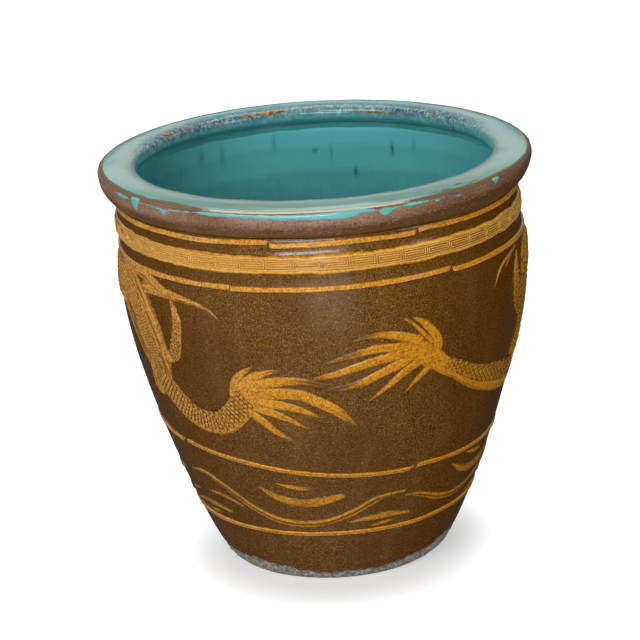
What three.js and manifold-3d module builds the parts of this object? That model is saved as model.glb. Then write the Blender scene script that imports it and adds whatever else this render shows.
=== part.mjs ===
// Glazed stoneware jardiniere: thrown sections luted together, with dragons and waves laid on in slip clay
// Millimetres and degrees, +Z up, origin at the centre of the foot
// Angle 0 is the front (-Y), positive towards +X
import * as THREE from 'three';
import Module from 'manifold-3d';

const wasm = await Module();
wasm.setup();

// Body of the pot
const HEIGHT = 463;             // foot to the crown of the mouth
const FOOT_RADIUS = 128;
const FOOT_CHAMFER = 2;
const FOOT_FLARE = 24;          // outward lean of the wall where it leaves the foot
const FOOT_REACH = 31;          // height over which that lean is held
const BELLY_RADIUS = 228;
const BELLY_DROP = 87;          // neck down to the fullest part of the belly
const BELLY_REACH = 100;        // height below the belly over which the wall stays upright
const NECK_INSET = 6;           // the neck is this much narrower than the belly
const SHOULDER_REACH = 32;      // height below the neck over which the shoulder draws in
const WALL = 13;
const BASE = 16;
const SEAM_HEIGHT = 188;        // joint between the two thrown wall sections
const SEAM_BEVEL = 8;           // rise of the scarfed joint from its outside to its inside
const CLEARANCE = 0.3;          // slip layer between pieces
const GLAZE = 0.9;              // coat on the inside and over the mouth

// Mouth ring
const RIM_OVERHANG = 17;        // roll, out beyond the neck
const LIP_OVERHANG = 11;        // lip, in beyond the inside of the wall
const RIM_HEIGHT = 36;          // from the neck to the crown
const RIM_SIDE = 25;            // from the neck to the fullest part of the roll
const RIM_EDGE_DROP = 5;        // crown down to the worn outer edge
const RIM_EDGE_ROUND = 1.5;     // the worn edge lies this much inside the roll
const RIM_CROWN_INSET = 18;     // crown of the mouth, measured out from the opening
const LIP_ROUND = 9;
const LIP_FACE = 4;             // upright inner face below the rounded lip
const LIP_SLOPE = 9;            // height over which the underside of the lip returns to the wall

// Raised bands around the wall, each laid below the one before it
const BAND_RELIEF = 2;
const TOP_BAND_DROP = 3.5;      // neck down to the top band
const TOP_BAND_WIDTH = 6;
const FRET_BAND_DROP = 9;
const FRET_BAND_WIDTH = 20;
const LOWER_BAND_DROP = 13;
const LOWER_BAND_WIDTH = 5.5;
const WAVE_LINE_WIDTH = 5;
const WAVE_FLOOR_HEIGHT = 67;
const WAVE_CEILING_HEIGHT = 151;
const WAVE_CEILING_TILT = 19;   // percent of the waves' field; the upper line climbs from right to left
const WAVE_CEILING_SAG = 3.6;   // percent of the same field

// Waves and dragons
const SWELLS = 5;
const FIRST_TROUGH = -14;       // angle of the front swell's lowest point
const WAVE_RELIEF = 1.6;
const DRAGON_RELIEF = 2.6;
const RELIEF_SLOPE = 0.4;       // a narrowing strip is never higher than this share of its half width
const PEARL_RADIUS = 14;
const PEARL_LEVEL = 76;         // percent of the dragons' field
const PEARL_ANGLE = 180;

// Fineness of the faceted surfaces
const SEGMENTS = 48;
const LOWER_ROWS = 5;
const UPPER_ROWS = 8;
const INSIDE_ROWS = 3;          // in each of the two wall sections
const ROLL_STEPS = 4;
const LIP_STEPS = 2;            // in each curve of the top and lip
const WALL_STEPS = 40;
const SPAN_STEPS = 2;
const PEARL_STEPS = 12;
const LONGEST_ARC = 5;          // degrees; longer facets of a laid-on strip are split to follow the wall
const LONGEST_RISE = 17;

const neckHeight = HEIGHT - RIM_HEIGHT;
const neckRadius = BELLY_RADIUS - NECK_INSET;
const bellyHeight = neckHeight - BELLY_DROP;
const rimTop = HEIGHT - CLEARANCE - GLAZE;
const rimRadius = neckRadius + RIM_OVERHANG;
const mouthRadius = neckRadius - WALL - LIP_OVERHANG;
const topBand = neckHeight - TOP_BAND_DROP - TOP_BAND_WIDTH;
const fretBand = topBand - FRET_BAND_DROP - FRET_BAND_WIDTH;
const lowerBand = fretBand - LOWER_BAND_DROP - LOWER_BAND_WIDTH;

// Materials
const brownGlaze = () => new THREE.MeshStandardMaterial({ color: 0x5f4322, roughness: 0.3, metalness: 0 });
const ochreSlip = () => new THREE.MeshStandardMaterial({ color: 0xc08a3a, roughness: 0.35, metalness: 0 });
const turquoise = () => new THREE.MeshStandardMaterial({ color: 0x5aa5a2, roughness: 0.2, metalness: 0 });
const bareClay = () => new THREE.MeshStandardMaterial({ color: 0x827868, roughness: 0.9, metalness: 0 });

const pot = new THREE.Group();

function addPiece(name, geometry, material) {
  const mesh = new THREE.Mesh(geometry, material);
  mesh.name = name;
  pot.add(mesh);
}

// Outer contour of the wall, from the foot to the neck
const wallPath = new THREE.Path();
wallPath.moveTo(FOOT_RADIUS, 0);
wallPath.bezierCurveTo(FOOT_RADIUS + FOOT_FLARE, FOOT_REACH,
  BELLY_RADIUS, bellyHeight - BELLY_REACH, BELLY_RADIUS, bellyHeight);
wallPath.quadraticCurveTo(BELLY_RADIUS, neckHeight - SHOULDER_REACH, neckRadius, neckHeight);
const wallPoints = wallPath.getPoints(WALL_STEPS);

function wallRadius(height) {
  const last = wallPoints.length - 2;
  const found = wallPoints.findIndex((point) => point.y >= height);
  const start = Math.min(Math.max(found < 0 ? last : found - 1, 0), last);
  const [low, high] = [wallPoints[start], wallPoints[start + 1]];
  return THREE.MathUtils.mapLinear(height, low.y, high.y, low.x, high.x);
}

// Turned pieces: a closed outline in radius and height, counter-clockwise, revolved about the vertical axis
function turned(outline) {
  const closed = [...outline, outline[0]];
  return new THREE.LatheGeometry(closed, SEGMENTS).rotateX(Math.PI / 2);
}

function wallRows(bottom, top, rows, inset) {
  return Array.from({ length: rows + 1 }, (_, row) => {
    const height = THREE.MathUtils.lerp(bottom, top, row / rows);
    return new THREE.Vector2(wallRadius(height) - inset, height);
  });
}

function offsetContour(points, distance) {
  return points.map((point, index) => {
    const before = points[Math.max(index - 1, 0)];
    const after = points[Math.min(index + 1, points.length - 1)];
    const first = point.clone().sub(before).normalize();
    const second = after.clone().sub(point).normalize();
    const along = first.clone().add(second).normalize();
    const turn = Math.max(along.dot(index ? first : second), 0.5);
    return new THREE.Vector2(-along.y, along.x).multiplyScalar(distance / turn).add(point);
  });
}

// Base, wall sections and mouth, stacked with a scarfed seam between the two walls
const seam = { outside: SEAM_HEIGHT - SEAM_BEVEL / 2, inside: SEAM_HEIGHT + SEAM_BEVEL / 2 };
const lowerInside = wallRows(BASE + CLEARANCE, seam.inside, INSIDE_ROWS, WALL);
const upperInside = wallRows(seam.inside + CLEARANCE, neckHeight, INSIDE_ROWS, WALL);

function baseSlab() {
  return new THREE.LatheGeometry([
    new THREE.Vector2(0, 0),
    new THREE.Vector2(FOOT_RADIUS - FOOT_CHAMFER, 0),
    new THREE.Vector2(wallRadius(FOOT_CHAMFER), FOOT_CHAMFER),
    new THREE.Vector2(wallRadius(BASE), BASE),
    new THREE.Vector2(0, BASE),
  ], SEGMENTS).rotateX(Math.PI / 2);
}

function lowerWall() {
  const outside = wallRows(BASE + CLEARANCE, seam.outside, LOWER_ROWS, 0);
  return turned([...outside, ...lowerInside.toReversed()]);
}

function upperWall() {
  const outside = wallRows(seam.outside + CLEARANCE, neckHeight, UPPER_ROWS, 0);
  return turned([...outside, ...upperInside.toReversed()]);
}

function rimRoll() {
  const roll = new THREE.Path();
  const seat = neckHeight + CLEARANCE;
  roll.moveTo(neckRadius, seat);
  roll.bezierCurveTo(THREE.MathUtils.lerp(neckRadius, rimRadius, 0.5), seat,
    rimRadius, neckHeight + RIM_SIDE / 2, rimRadius, neckHeight + RIM_SIDE);
  return roll.getPoints(ROLL_STEPS);
}

function rimTopAndLip() {
  const inside = new THREE.Path();
  inside.moveTo(rimRadius - RIM_EDGE_ROUND, rimTop - RIM_EDGE_DROP);
  const crown = mouthRadius + RIM_CROWN_INSET;
  inside.quadraticCurveTo(THREE.MathUtils.lerp(crown, rimRadius, 0.5), rimTop, crown, rimTop);
  inside.quadraticCurveTo(mouthRadius, rimTop, mouthRadius, rimTop - LIP_ROUND);
  const lipFoot = rimTop - LIP_ROUND - LIP_FACE;
  inside.lineTo(mouthRadius, lipFoot);
  inside.quadraticCurveTo(mouthRadius, lipFoot - LIP_SLOPE, neckRadius - WALL, lipFoot - LIP_SLOPE);
  inside.lineTo(neckRadius - WALL, neckHeight + CLEARANCE);
  return inside.getPoints(LIP_STEPS);
}

function glazeCoat() {
  const floor = [new THREE.Vector2(0, BASE), new THREE.Vector2(wallRadius(BASE) - WALL, BASE)];
  const rim = rimTopAndLip().toReversed();
  const contour = [...floor, ...lowerInside.slice(1), ...upperInside.slice(1), ...rim.slice(1)];
  const back = offsetContour(contour, CLEARANCE);
  const face = offsetContour(contour, CLEARANCE + GLAZE).toReversed();
  for (const point of [back[0], face.at(-1)]) point.x = 0;
  return new THREE.LatheGeometry([...back, ...face], SEGMENTS).rotateX(Math.PI / 2);
}

addPiece('base_slab', baseSlab(), bareClay());
addPiece('lower_wall', lowerWall(), brownGlaze());
addPiece('upper_wall', upperWall(), brownGlaze());
addPiece('mouth_rim', turned([...rimRoll(), ...rimTopAndLip()]), brownGlaze());
addPiece('inner_glaze', glazeCoat(), turquoise());

// Fields of the decoration, and a height in one of them from its percentage
const waveField = { bottom: WAVE_FLOOR_HEIGHT, top: WAVE_CEILING_HEIGHT, relief: WAVE_RELIEF };
const dragonField = { bottom: WAVE_CEILING_HEIGHT, top: lowerBand, relief: DRAGON_RELIEF };
const levelIn = ({ bottom, top }, percent) => THREE.MathUtils.lerp(bottom, top, percent / 100);

// A point laid on the outside of the wall
function onWall(angle, height, rise) {
  const turn = THREE.MathUtils.degToRad(angle);
  const radius = wallRadius(height) + CLEARANCE + rise;
  return [radius * Math.sin(turn), -radius * Math.cos(turn), height];
}

// Bands: rings of bevelled section whose lower edge may wander in height
const BAND_SECTION = [[0, 0], [0.15, 1], [0.85, 1], [1, 0]];

function band(width, bottomAt) {
  const corners = BAND_SECTION.length;
  const positions = [];
  const indices = [];
  for (let segment = 0; segment < SEGMENTS; segment += 1) {
    const angle = segment * 360 / SEGMENTS;
    for (const [across, rise] of BAND_SECTION) {
      positions.push(...onWall(angle, bottomAt(angle) + across * width, rise * BAND_RELIEF));
    }
    const next = (segment + 1) % SEGMENTS;
    for (let corner = 0; corner < corners; corner += 1) {
      const above = (corner + 1) % corners;
      const [a, b] = [segment * corners + corner, next * corners + corner];
      const [c, d] = [next * corners + above, segment * corners + above];
      indices.push(a, b, c, a, c, d);
    }
  }
  const geometry = new THREE.BufferGeometry();
  geometry.setAttribute('position', new THREE.Float32BufferAttribute(positions, 3));
  geometry.setIndex(indices);
  return geometry;
}

function waveCeiling(angle) {
  const turn = THREE.MathUtils.degToRad(angle);
  const lower = WAVE_CEILING_TILT * Math.sin(turn) + WAVE_CEILING_SAG * Math.cos(2 * turn);
  return levelIn(waveField, 100 - lower);
}

addPiece('top_band', band(TOP_BAND_WIDTH, () => topBand), ochreSlip());
addPiece('fret_band', band(FRET_BAND_WIDTH, () => fretBand), ochreSlip());
addPiece('lower_band', band(LOWER_BAND_WIDTH, () => lowerBand), ochreSlip());
addPiece('wave_ceiling_line', band(WAVE_LINE_WIDTH, waveCeiling), ochreSlip());
addPiece('wave_floor_line', band(WAVE_LINE_WIDTH, () => WAVE_FLOOR_HEIGHT), ochreSlip());

// Laid-on strips: modelled flat, with angle, height and rise as the three axes, then bent on to the wall
const RIDGE = [[-1, 0], [0, 1], [1, 0]];
const SLAB = [[-1, 0], [-0.55, 1], [0.55, 1], [1, 0]];
const TOOL = [[-1, -1], [-1, 2], [1, 2], [1, -1]];

// Stations along a strip, as angle, height, half width and the direction across it per millimetre
function stations(points, margin) {
  const curve = new THREE.CatmullRomCurve3(points.map((point) => new THREE.Vector3(...point)));
  const count = (points.length - 1) * SPAN_STEPS;
  return Array.from({ length: count + 1 }, (_, step) => {
    const at = curve.getPoint(step / count);
    const run = curve.getTangent(step / count);
    const perDegree = THREE.MathUtils.degToRad(wallRadius(at.y));
    const along = new THREE.Vector2(run.x * perDegree, run.y).normalize();
    const reach = margin * (Number(step === count) - Number(step === 0));
    at.x += along.x * reach / perDegree;
    at.y += along.y * reach;
    return { at, across: new THREE.Vector2(-along.y / perDegree, along.x) };
  });
}

// One strip; a margin turns it into the tool that trims its neighbours clear of it
function strip({ points, section, relief }, margin = 0) {
  const columns = margin ? TOOL : section;
  const size = columns.length;
  const positions = [];
  const triangles = [];
  const path = stations(points, margin);
  for (const { at, across } of path) {
    const rise = margin ? relief : Math.min(relief, at.z * RELIEF_SLOPE);
    for (const [offset, level] of columns) {
      const out = offset * (at.z + margin);
      positions.push(at.x + across.x * out, at.y + across.y * out, level * rise);
    }
  }
  for (let row = 0; row < path.length - 1; row += 1) {
    for (let column = 0; column < size; column += 1) {
      const beside = (column + 1) % size;
      const [a, b] = [row * size + column, (row + 1) * size + column];
      const [c, d] = [(row + 1) * size + beside, row * size + beside];
      triangles.push(a, b, c, a, c, d);
    }
  }
  const end = (path.length - 1) * size;
  for (let column = 1; column < size - 1; column += 1) {
    triangles.push(0, column, column + 1, end, end + column + 1, end + column);
  }
  return new wasm.Manifold(new wasm.Mesh({
    numProp: 3,
    vertProperties: new Float32Array(positions),
    triVerts: new Uint32Array(triangles),
  }));
}

const form = (strips, margin) => strips
  .map((each) => strip(each, margin))
  .reduce((whole, each) => whole.add(each));

const trimmed = (strips, neighbours) => neighbours.reduce(
  (rest, neighbour) => rest.subtract(form(neighbour, CLEARANCE)), form(strips));

// Split every edge that is too long to follow the wall, the same way for both triangles beside it
function splitLongEdges(points, triangles) {
  const middles = new Map();
  const middle = (a, b) => {
    const key = a < b ? `${a},${b}` : `${b},${a}`;
    const tooLong = Math.abs(points[a][0] - points[b][0]) > LONGEST_ARC
      || Math.abs(points[a][1] - points[b][1]) > LONGEST_RISE;
    if (tooLong && !middles.has(key)) {
      middles.set(key, points.push(points[a].map((value, axis) => (value + points[b][axis]) / 2)) - 1);
    }
    return middles.get(key);
  };
  const pieces = triangles.flatMap(([a, b, c]) => {
    const [ab, bc, ca] = [middle(a, b), middle(b, c), middle(c, a)];
    const cut = [ab, bc, ca].filter((each) => each !== undefined).length;
    if (cut === 3) return [[a, ab, ca], [ab, b, bc], [ca, bc, c], [ab, bc, ca]];
    if (cut === 0) return [[a, b, c]];
    if (ab === undefined && bc !== undefined) return splitFrom(b, c, a, bc, ca);
    if (ab === undefined) return splitFrom(c, a, b, ca, undefined);
    return bc === undefined && ca !== undefined ? splitFrom(c, a, b, ca, ab) : splitFrom(a, b, c, ab, bc);
  });
  return { pieces, changed: middles.size > 0 };
}

// A triangle cut on its first edge, and on its second one too where that has a middle
function splitFrom(a, b, c, first, second) {
  return second === undefined
    ? [[a, first, c], [first, b, c]]
    : [[first, b, second], [a, first, c], [first, second, c]];
}

function bentOnWall(solid) {
  const mesh = solid.getMesh();
  const three = (list, row) => [...list.slice(row * 3, row * 3 + 3)];
  const threes = (list, count) => Array.from({ length: count }, (_, row) => three(list, row));
  const points = threes(mesh.vertProperties, mesh.numVert);
  let triangles = threes(mesh.triVerts, mesh.numTri);
  for (let again = true; again;) {
    const { pieces, changed } = splitLongEdges(points, triangles);
    triangles = pieces;
    again = changed;
  }
  const geometry = new THREE.BufferGeometry();
  const positions = points.flatMap(([angle, height, rise]) => onWall(angle, height, rise));
  geometry.setAttribute('position', new THREE.Float32BufferAttribute(positions, 3));
  geometry.setIndex(triangles.flat());
  return geometry;
}

function laidOn(name, strips, neighbours = []) {
  addPiece(name, bentOnWall(trimmed(strips, neighbours)), ochreSlip());
}

// The strips are drawn by angle, and by height and half width in percent of the field that they fill
function drawn(field, section, points) {
  const half = (percent) => (field.top - field.bottom) * percent / 100;
  return {
    points: points.map(([angle, level, width]) => [angle, levelIn(field, level), half(width)]),
    section,
    relief: field.relief,
  };
}

const moved = (piece, place) => ({
  ...piece,
  points: piece.points.map(([angle, ...rest]) => [place(angle), ...rest]),
});

// Waves: each swell falls to a trough and climbs again, with shorter ripples around it
const waveStrip = (...points) => drawn(waveField, RIDGE, points);
const SWELL = waveStrip([-46, 75, 1.8], [-36.5, 77, 4.3], [-27.4, 63.1, 5], [-18, 40, 5.4], [-8.5, 24, 5.4],
  [1, 19.8, 5.4], [10.5, 23.5, 5.4], [20, 36.7, 5.4], [29.5, 54.8, 5], [39, 58.5, 1.8]);
const LATE_SWELL = waveStrip([-32.5, 51.2, 1.8], [-26, 45.5, 4.3], [-17, 32, 5.2], [-8, 25.4, 5.4],
  [1, 28.5, 5.4], [10.5, 36.5, 5.4], [20, 46, 5.4], [29.5, 55.5, 5], [39, 58.5, 1.8]);
const SHORT_SWELL = waveStrip([-46, 75, 1.8], [-36.5, 77, 4.3], [-27.4, 63.1, 5], [-18, 40, 5.4],
  [-8.5, 24, 5.4], [1, 19.8, 5.4], [10.5, 23.5, 5.4], [17.5, 32, 4.5], [24.5, 41, 1.8]);
const SWELL_FORMS = [SWELL, LATE_SWELL, SWELL, SWELL, SHORT_SWELL];
const LATE_LEFT = waveStrip([4, 11.9, 1.2], [9, 14.5, 3.2], [15, 15, 3.2], [20, 11.9, 1.2]);
const RIPPLES = {
  left: waveStrip([-40, 45.8, 1.2], [-34, 48.8, 3.6], [-27, 44.6, 3.6], [-21, 35.1, 1.2]),
  crest: waveStrip([-13, 76.2, 1.8], [-7, 60.7, 5.4], [2, 53.6, 6.5], [10, 59.5, 6], [16, 65.5, 1.8]),
  upper: waveStrip([-5, 83.3, 1.2], [-1, 79.8, 3], [3, 77.4, 3], [7, 78.6, 1.2]),
  right: waveStrip([19, 20.2, 1.8], [26, 23.8, 4.8], [34, 25, 6], [42, 21.4, 2.4]),
  low: waveStrip([27, 10.7, 1.2], [32, 13.1, 3], [38, 14.9, 1.2]),
};

for (let swell = 0; swell < SWELLS; swell += 1) {
  const turn = FIRST_TROUGH + swell * 360 / SWELLS;
  const about = (angle) => angle + turn;
  const form = SWELL_FORMS[swell % SWELL_FORMS.length];
  const ripples = form === LATE_SWELL ? { ...RIPPLES, left: LATE_LEFT } : RIPPLES;
  laidOn(`swell_${swell + 1}`, [moved(form, about)]);
  for (const [place, ripple] of Object.entries(ripples)) {
    laidOn(`ripple_${place}_${swell + 1}`, [moved(ripple, about)]);
  }
}

// Dragons: angles are counted from the front towards the dragon's own side
const dragonRidge = (...points) => drawn(dragonField, RIDGE, points);
const dragonSlab = (...points) => drawn(dragonField, SLAB, points);
const onSide = (strips, side) => strips.map((each) => moved(each, (angle) => angle * side));

const BACK = [[78, 87.7, 9.6], [90, 89, 7.8], [102, 84, 7.3], [112, 72.6, 7.3], [121, 61.6, 7.3],
  [131, 55.3, 6.8], [141, 57.5, 5.9], [148, 64.4, 5]];
const HEAD = [
  dragonSlab([147, 68.9, 3.7], [152, 74.4, 5.9], [157, 79.5, 5.5], [163, 82.2, 4.1], [170, 82.2, 1.6]),
  dragonRidge([154, 73.1, 2.7], [160, 71.7, 2.3], [166, 73.1, 0.7]),
];
const HORNS = [
  dragonRidge([158, 83.1, 1.8], [151, 88.6, 1.8], [143, 91.3, 1.6], [136, 90.9, 0.5]),
];
const MANE = [
  dragonRidge([151, 78.1, 2.7], [143, 80.4, 2.7], [135, 79.9, 2.1], [127, 77.6, 0.5]),
  dragonRidge([149, 74, 2.7], [141, 73.5, 2.3], [134, 70.8, 0.5]),
];
const WHISKER = [
  dragonRidge([165, 84.9, 1], [168, 89, 1], [165, 93.6, 0.9], [158, 95.9, 0.5]),
];
const FORELEG = [
  dragonSlab([136, 50.7, 5], [140, 43.4, 5], [148, 37.9, 5], [156, 37.9, 5], [161, 41.1, 4.1]),
  dragonRidge([159, 42.5, 2.3], [165, 45.7, 1.8], [170, 47, 0.5]),
  dragonRidge([160, 41.1, 2.3], [167, 42, 2.1], [174, 41.1, 0.5]),
  dragonRidge([159, 39.3, 2.3], [166, 37.9, 2.1], [173, 35.2, 0.5]),
  dragonRidge([157, 37.4, 2.3], [162, 33.3, 1.8], [167, 30.1, 0.5]),
];

const LEFT = {
  name: 'left_dragon',
  side: -1,
  body: [dragonSlab([60, 38.8, 5.9], [57, 48.9, 10], [58.5, 63.5, 13.7], [63, 78.1, 14.6], [71, 86.8, 11.4],
    ...BACK)],
  hindLeg: [
    dragonSlab([58, 47, 8.2], [52, 36.5, 7.5], [46, 28.8, 6.8], [40, 26.3, 6.6], [34, 27.4, 6.6],
      [29, 33.8, 6.8], [26, 39.5, 6.8], [23, 44.3, 5.9], [21, 46.6, 4.1]),
    dragonRidge([28, 45.2, 2.7], [27, 51.1, 2.7], [25.4, 55.7, 2.3], [21, 60.7, 0.5]),
    dragonRidge([25, 49.8, 3.2], [21.4, 55.3, 2.7], [17, 58.7, 1.6], [13, 59.8, 0.5]),
    dragonRidge([22, 50.7, 3.7], [15, 53.7, 2.7], [8, 54.1, 2.1], [2, 50.7, 0.5]),
    dragonRidge([20, 47, 3.7], [12.6, 47.3, 3.2], [5, 43.8, 3.2], [-1, 37.9, 3], [-7, 28.3, 0.7]),
    dragonRidge([21, 42.5, 3.2], [13, 40.4, 2.4], [7.5, 37.2, 1.6], [2.7, 33.3, 0.5]),
    dragonRidge([22.5, 39.3, 2.7], [14, 33.8, 2.1], [6.9, 27.4, 0.5]),
    dragonRidge([25, 37.4, 2.7], [18.5, 28.3, 2.1], [12.4, 21, 0.7]),
  ],
  tail: [dragonRidge([50, 58, 3.2], [46.5, 63.9, 3.9], [44.6, 73.1, 3.4], [44, 79.5, 3.2], [44.7, 85.4, 2.1],
    [45.8, 90, 0.9])],
  tuft: [dragonRidge([60, 93.6, 3.2], [50, 93.4, 2.9], [43.6, 92.2, 2.3], [37, 90.9, 1.5],
    [31.5, 87.7, 0.5])],
};
const RIGHT = {
  name: 'right_dragon',
  side: 1,
  body: [dragonSlab([73, 40.2, 6.4], [77, 50.7, 7.3], [76, 63.5, 8.2], [75.7, 76.3, 8.2], ...BACK)],
  hindLeg: [
    dragonSlab([76, 34.2, 7.3], [67, 30.4, 8.2], [57.7, 33.8, 7.8], [49.5, 38.1, 6.6], [43, 43.4, 5.7],
      [37, 50, 5], [30, 58, 5.5], [25, 63.5, 6.4], [21, 65.3, 4.6]),
    dragonRidge([25, 69.9, 2.7], [18.9, 74, 2.3], [12.5, 75.6, 1.7], [7.5, 74, 0.5]),
    dragonRidge([21, 67.6, 2.7], [14, 68.7, 2.3], [7, 67.1, 1.8], [-0.3, 63, 0.5]),
    dragonRidge([21, 64.4, 3], [13.1, 62.6, 2.5], [4, 58.4, 2], [-4, 55.5, 0.7]),
    dragonRidge([22, 60.3, 2.7], [14.7, 55.7, 2.5], [7.5, 50.7, 2.1], [-0.7, 48.4, 0.7]),
    dragonRidge([25, 58.4, 2.7], [18, 50.2, 1.8], [11, 41.1, 0.5]),
    dragonRidge([30, 55.7, 2.3], [26, 50.2, 1.6], [21.8, 42.9, 0.5]),
    dragonRidge([30.5, 59.8, 3.2], [31, 66.7, 2.7], [28.5, 74.4, 2.3], [23.5, 81.7, 0.5]),
    dragonRidge([29, 67.1, 1.4], [24.5, 76.7, 1], [19.5, 83.1, 0.5]),
  ],
  tail: [dragonRidge([73, 60.3, 3], [68, 68, 3.7], [66.1, 79.5, 3.7], [67.6, 95, 0.9])],
  tuft: [dragonRidge([64, 97, 1], [58, 94, 1.1], [55, 90, 1], [52.8, 84, 0.5])],
};

for (const { name: dragon, side, body, hindLeg, tail, tuft } of [LEFT, RIGHT]) {
  const [torso, skull, horns, hair] = [body, HEAD, HORNS, MANE].map((strips) => onSide(strips, side));
  laidOn(`${dragon}_body`, torso);
  laidOn(`${dragon}_hind_leg`, onSide(hindLeg, side), [torso]);
  laidOn(`${dragon}_tail`, onSide(tail, side), [torso, onSide(hindLeg, side)]);
  laidOn(`${dragon}_tuft`, onSide(tuft, side), [torso]);
  laidOn(`${dragon}_foreleg`, onSide(FORELEG, side), [torso]);
  laidOn(`${dragon}_head`, skull, [torso]);
  laidOn(`${dragon}_horn`, horns, [skull]);
  laidOn(`${dragon}_mane`, hair, [torso, skull]);
  laidOn(`${dragon}_whisker`, onSide(WHISKER, side), [skull]);
}

// Pearl between the two heads
function pearlDome() {
  const centre = levelIn(dragonField, PEARL_LEVEL);
  const perDegree = THREE.MathUtils.degToRad(wallRadius(centre));
  const positions = [0, 0, DRAGON_RELIEF, 0, 0, 0];
  const triangles = [];
  for (let step = 0; step < PEARL_STEPS; step += 1) {
    const turn = step / PEARL_STEPS * 2 * Math.PI;
    positions.push(PEARL_RADIUS * Math.cos(turn), PEARL_RADIUS * Math.sin(turn), 0);
    const [here, next] = [2 + step, 2 + (step + 1) % PEARL_STEPS];
    triangles.push(0, here, next, 1, next, here);
  }
  for (let start = 0; start < positions.length; start += 3) {
    positions[start] = positions[start] / perDegree + PEARL_ANGLE;
    positions[start + 1] += centre;
  }
  return new wasm.Manifold(new wasm.Mesh({
    numProp: 3,
    vertProperties: new Float32Array(positions),
    triVerts: new Uint32Array(triangles),
  }));
}

addPiece('pearl', bentOnWall(pearlDome()), ochreSlip());

export default pot;
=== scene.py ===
"""Glazed stoneware jardiniere: a thrown pot with a turquoise mouth, and bands, waves and dragons in slip.

Sizes are millimetres and degrees until a mesh is made, which is in metres. Angle 0 is the front (-Y),
positive towards +X.
"""

import logging
import math
from collections.abc import Callable, Iterable
from dataclasses import dataclass, fields, replace
from enum import Enum

import bpy
import numpy as np
from mathutils import Matrix, Vector


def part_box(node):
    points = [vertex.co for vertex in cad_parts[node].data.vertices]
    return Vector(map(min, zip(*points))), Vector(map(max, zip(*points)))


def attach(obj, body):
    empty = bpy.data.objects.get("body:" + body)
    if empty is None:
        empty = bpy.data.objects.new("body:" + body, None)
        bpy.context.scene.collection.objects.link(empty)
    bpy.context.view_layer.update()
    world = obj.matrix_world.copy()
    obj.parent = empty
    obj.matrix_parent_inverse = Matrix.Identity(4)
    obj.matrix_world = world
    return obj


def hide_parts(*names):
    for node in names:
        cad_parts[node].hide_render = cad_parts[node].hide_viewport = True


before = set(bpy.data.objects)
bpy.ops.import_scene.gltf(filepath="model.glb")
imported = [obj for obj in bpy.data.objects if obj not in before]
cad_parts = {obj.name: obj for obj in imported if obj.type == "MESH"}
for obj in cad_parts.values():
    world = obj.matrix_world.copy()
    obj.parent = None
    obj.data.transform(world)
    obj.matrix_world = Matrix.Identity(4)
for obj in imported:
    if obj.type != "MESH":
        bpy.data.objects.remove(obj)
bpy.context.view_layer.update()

LOG = logging.getLogger("jardiniere")
MM = 0.001
ROOT = "root"

# Odd factors and masks that turn a lattice point into an even spread of values
HASH_COLUMN, HASH_ROW, HASH_SEED, HASH_MIX = 374761393, 668265263, 974711, 1274126177
WORD, HALF_WORD = 0xFFFFFFFF, 0xFFFF

Array = np.ndarray
Piece = bpy.types.Object
Socket = bpy.types.NodeSocket
Material = bpy.types.Material
Point = tuple[float, float, float]
Colour = tuple[float, float, float]


class Slot(Enum):
    """Material slots of the part's record."""

    BROWN = "brown_glaze"
    SLIP = "ochre_slip"
    TURQUOISE = "turquoise_glaze"
    CLAY = "bare_clay"


# Numbers and curves


def smooth(value: Array, low: float, high: float) -> Array:
    """Ease from 0 at low to 1 at high."""
    share = np.clip((value - low) / (high - low), 0.0, 1.0)
    return share * share * (3.0 - 2.0 * share)


def hump(value: Array, centre: float, reach: float) -> Array:
    """Bell curve of height 1 about a centre."""
    return np.exp(-(((value - centre) / reach) ** 2))


def lattice_noise(x: Array, y: Array, seed: int, period: int = 0) -> Array:
    """Smooth noise from -1 to 1 with one value per unit square.

    Args:
        x: First coordinate, in lattice cells.
        y: Second coordinate, in lattice cells.
        seed: Picks the pattern.
        period: Cells after which x repeats, or 0 for no repeat.

    Returns:
        One value per coordinate pair.
    """
    left, low = np.floor(x).astype(np.int64), np.floor(y).astype(np.int64)
    across, up = x - left, y - low
    across, up = across * across * (3 - 2 * across), up * up * (3 - 2 * up)

    def corner(column: Array, row: Array) -> Array:
        """Value of one lattice point."""
        column = column % period if period else column
        mixed = (column * HASH_COLUMN + row * HASH_ROW + seed * HASH_SEED) & WORD
        mixed = ((mixed ^ (mixed >> 13)) * HASH_MIX) & WORD
        return ((mixed ^ (mixed >> 16)) & HALF_WORD) / (HALF_WORD / 2) - 1.0

    bottom = corner(left, low) * (1 - across) + corner(left + 1, low) * across
    top = corner(left, low + 1) * (1 - across) + corner(left + 1, low + 1) * across
    return bottom * (1 - up) + top * up


def ring_noise(angle: Array, height: Array, cells: int, rise: float, seed: int) -> Array:
    """Noise from -1 to 1 that closes round the pot, with a number of cells to a turn and a rise to each."""
    return lattice_noise(angle / 360.0 * cells, height / rise, seed, cells)


def round_noise(angle: Array, cells: int, seed: int) -> Array:
    """Noise round the pot that is the same at every height."""
    return ring_noise(angle, 0 * angle, cells, 1.0, seed)


def sections(turns: int) -> Array:
    """Angles of equal sections of the pot, as a column."""
    return np.linspace(0.0, 360.0, turns, endpoint=False)[:, None]


def turned(angle: Array) -> Array:
    """Angle from the front, from -180 to 180 degrees."""
    return (angle + 180.0) % 360.0 - 180.0


def bezier(*controls: tuple[float, float], steps: int) -> Array:
    """Points of a Bezier curve of any degree.

    Args:
        controls: Control points.
        steps: Number of equal parameter steps.

    Returns:
        Array of steps + 1 points.
    """
    share = np.linspace(0.0, 1.0, steps + 1)[:, None]
    points = [np.asarray(control, float) + 0 * share for control in controls]
    while len(points) > 1:
        points = [a * (1 - share) + b * share for a, b in zip(points, points[1:])]
    return points[0]


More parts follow.
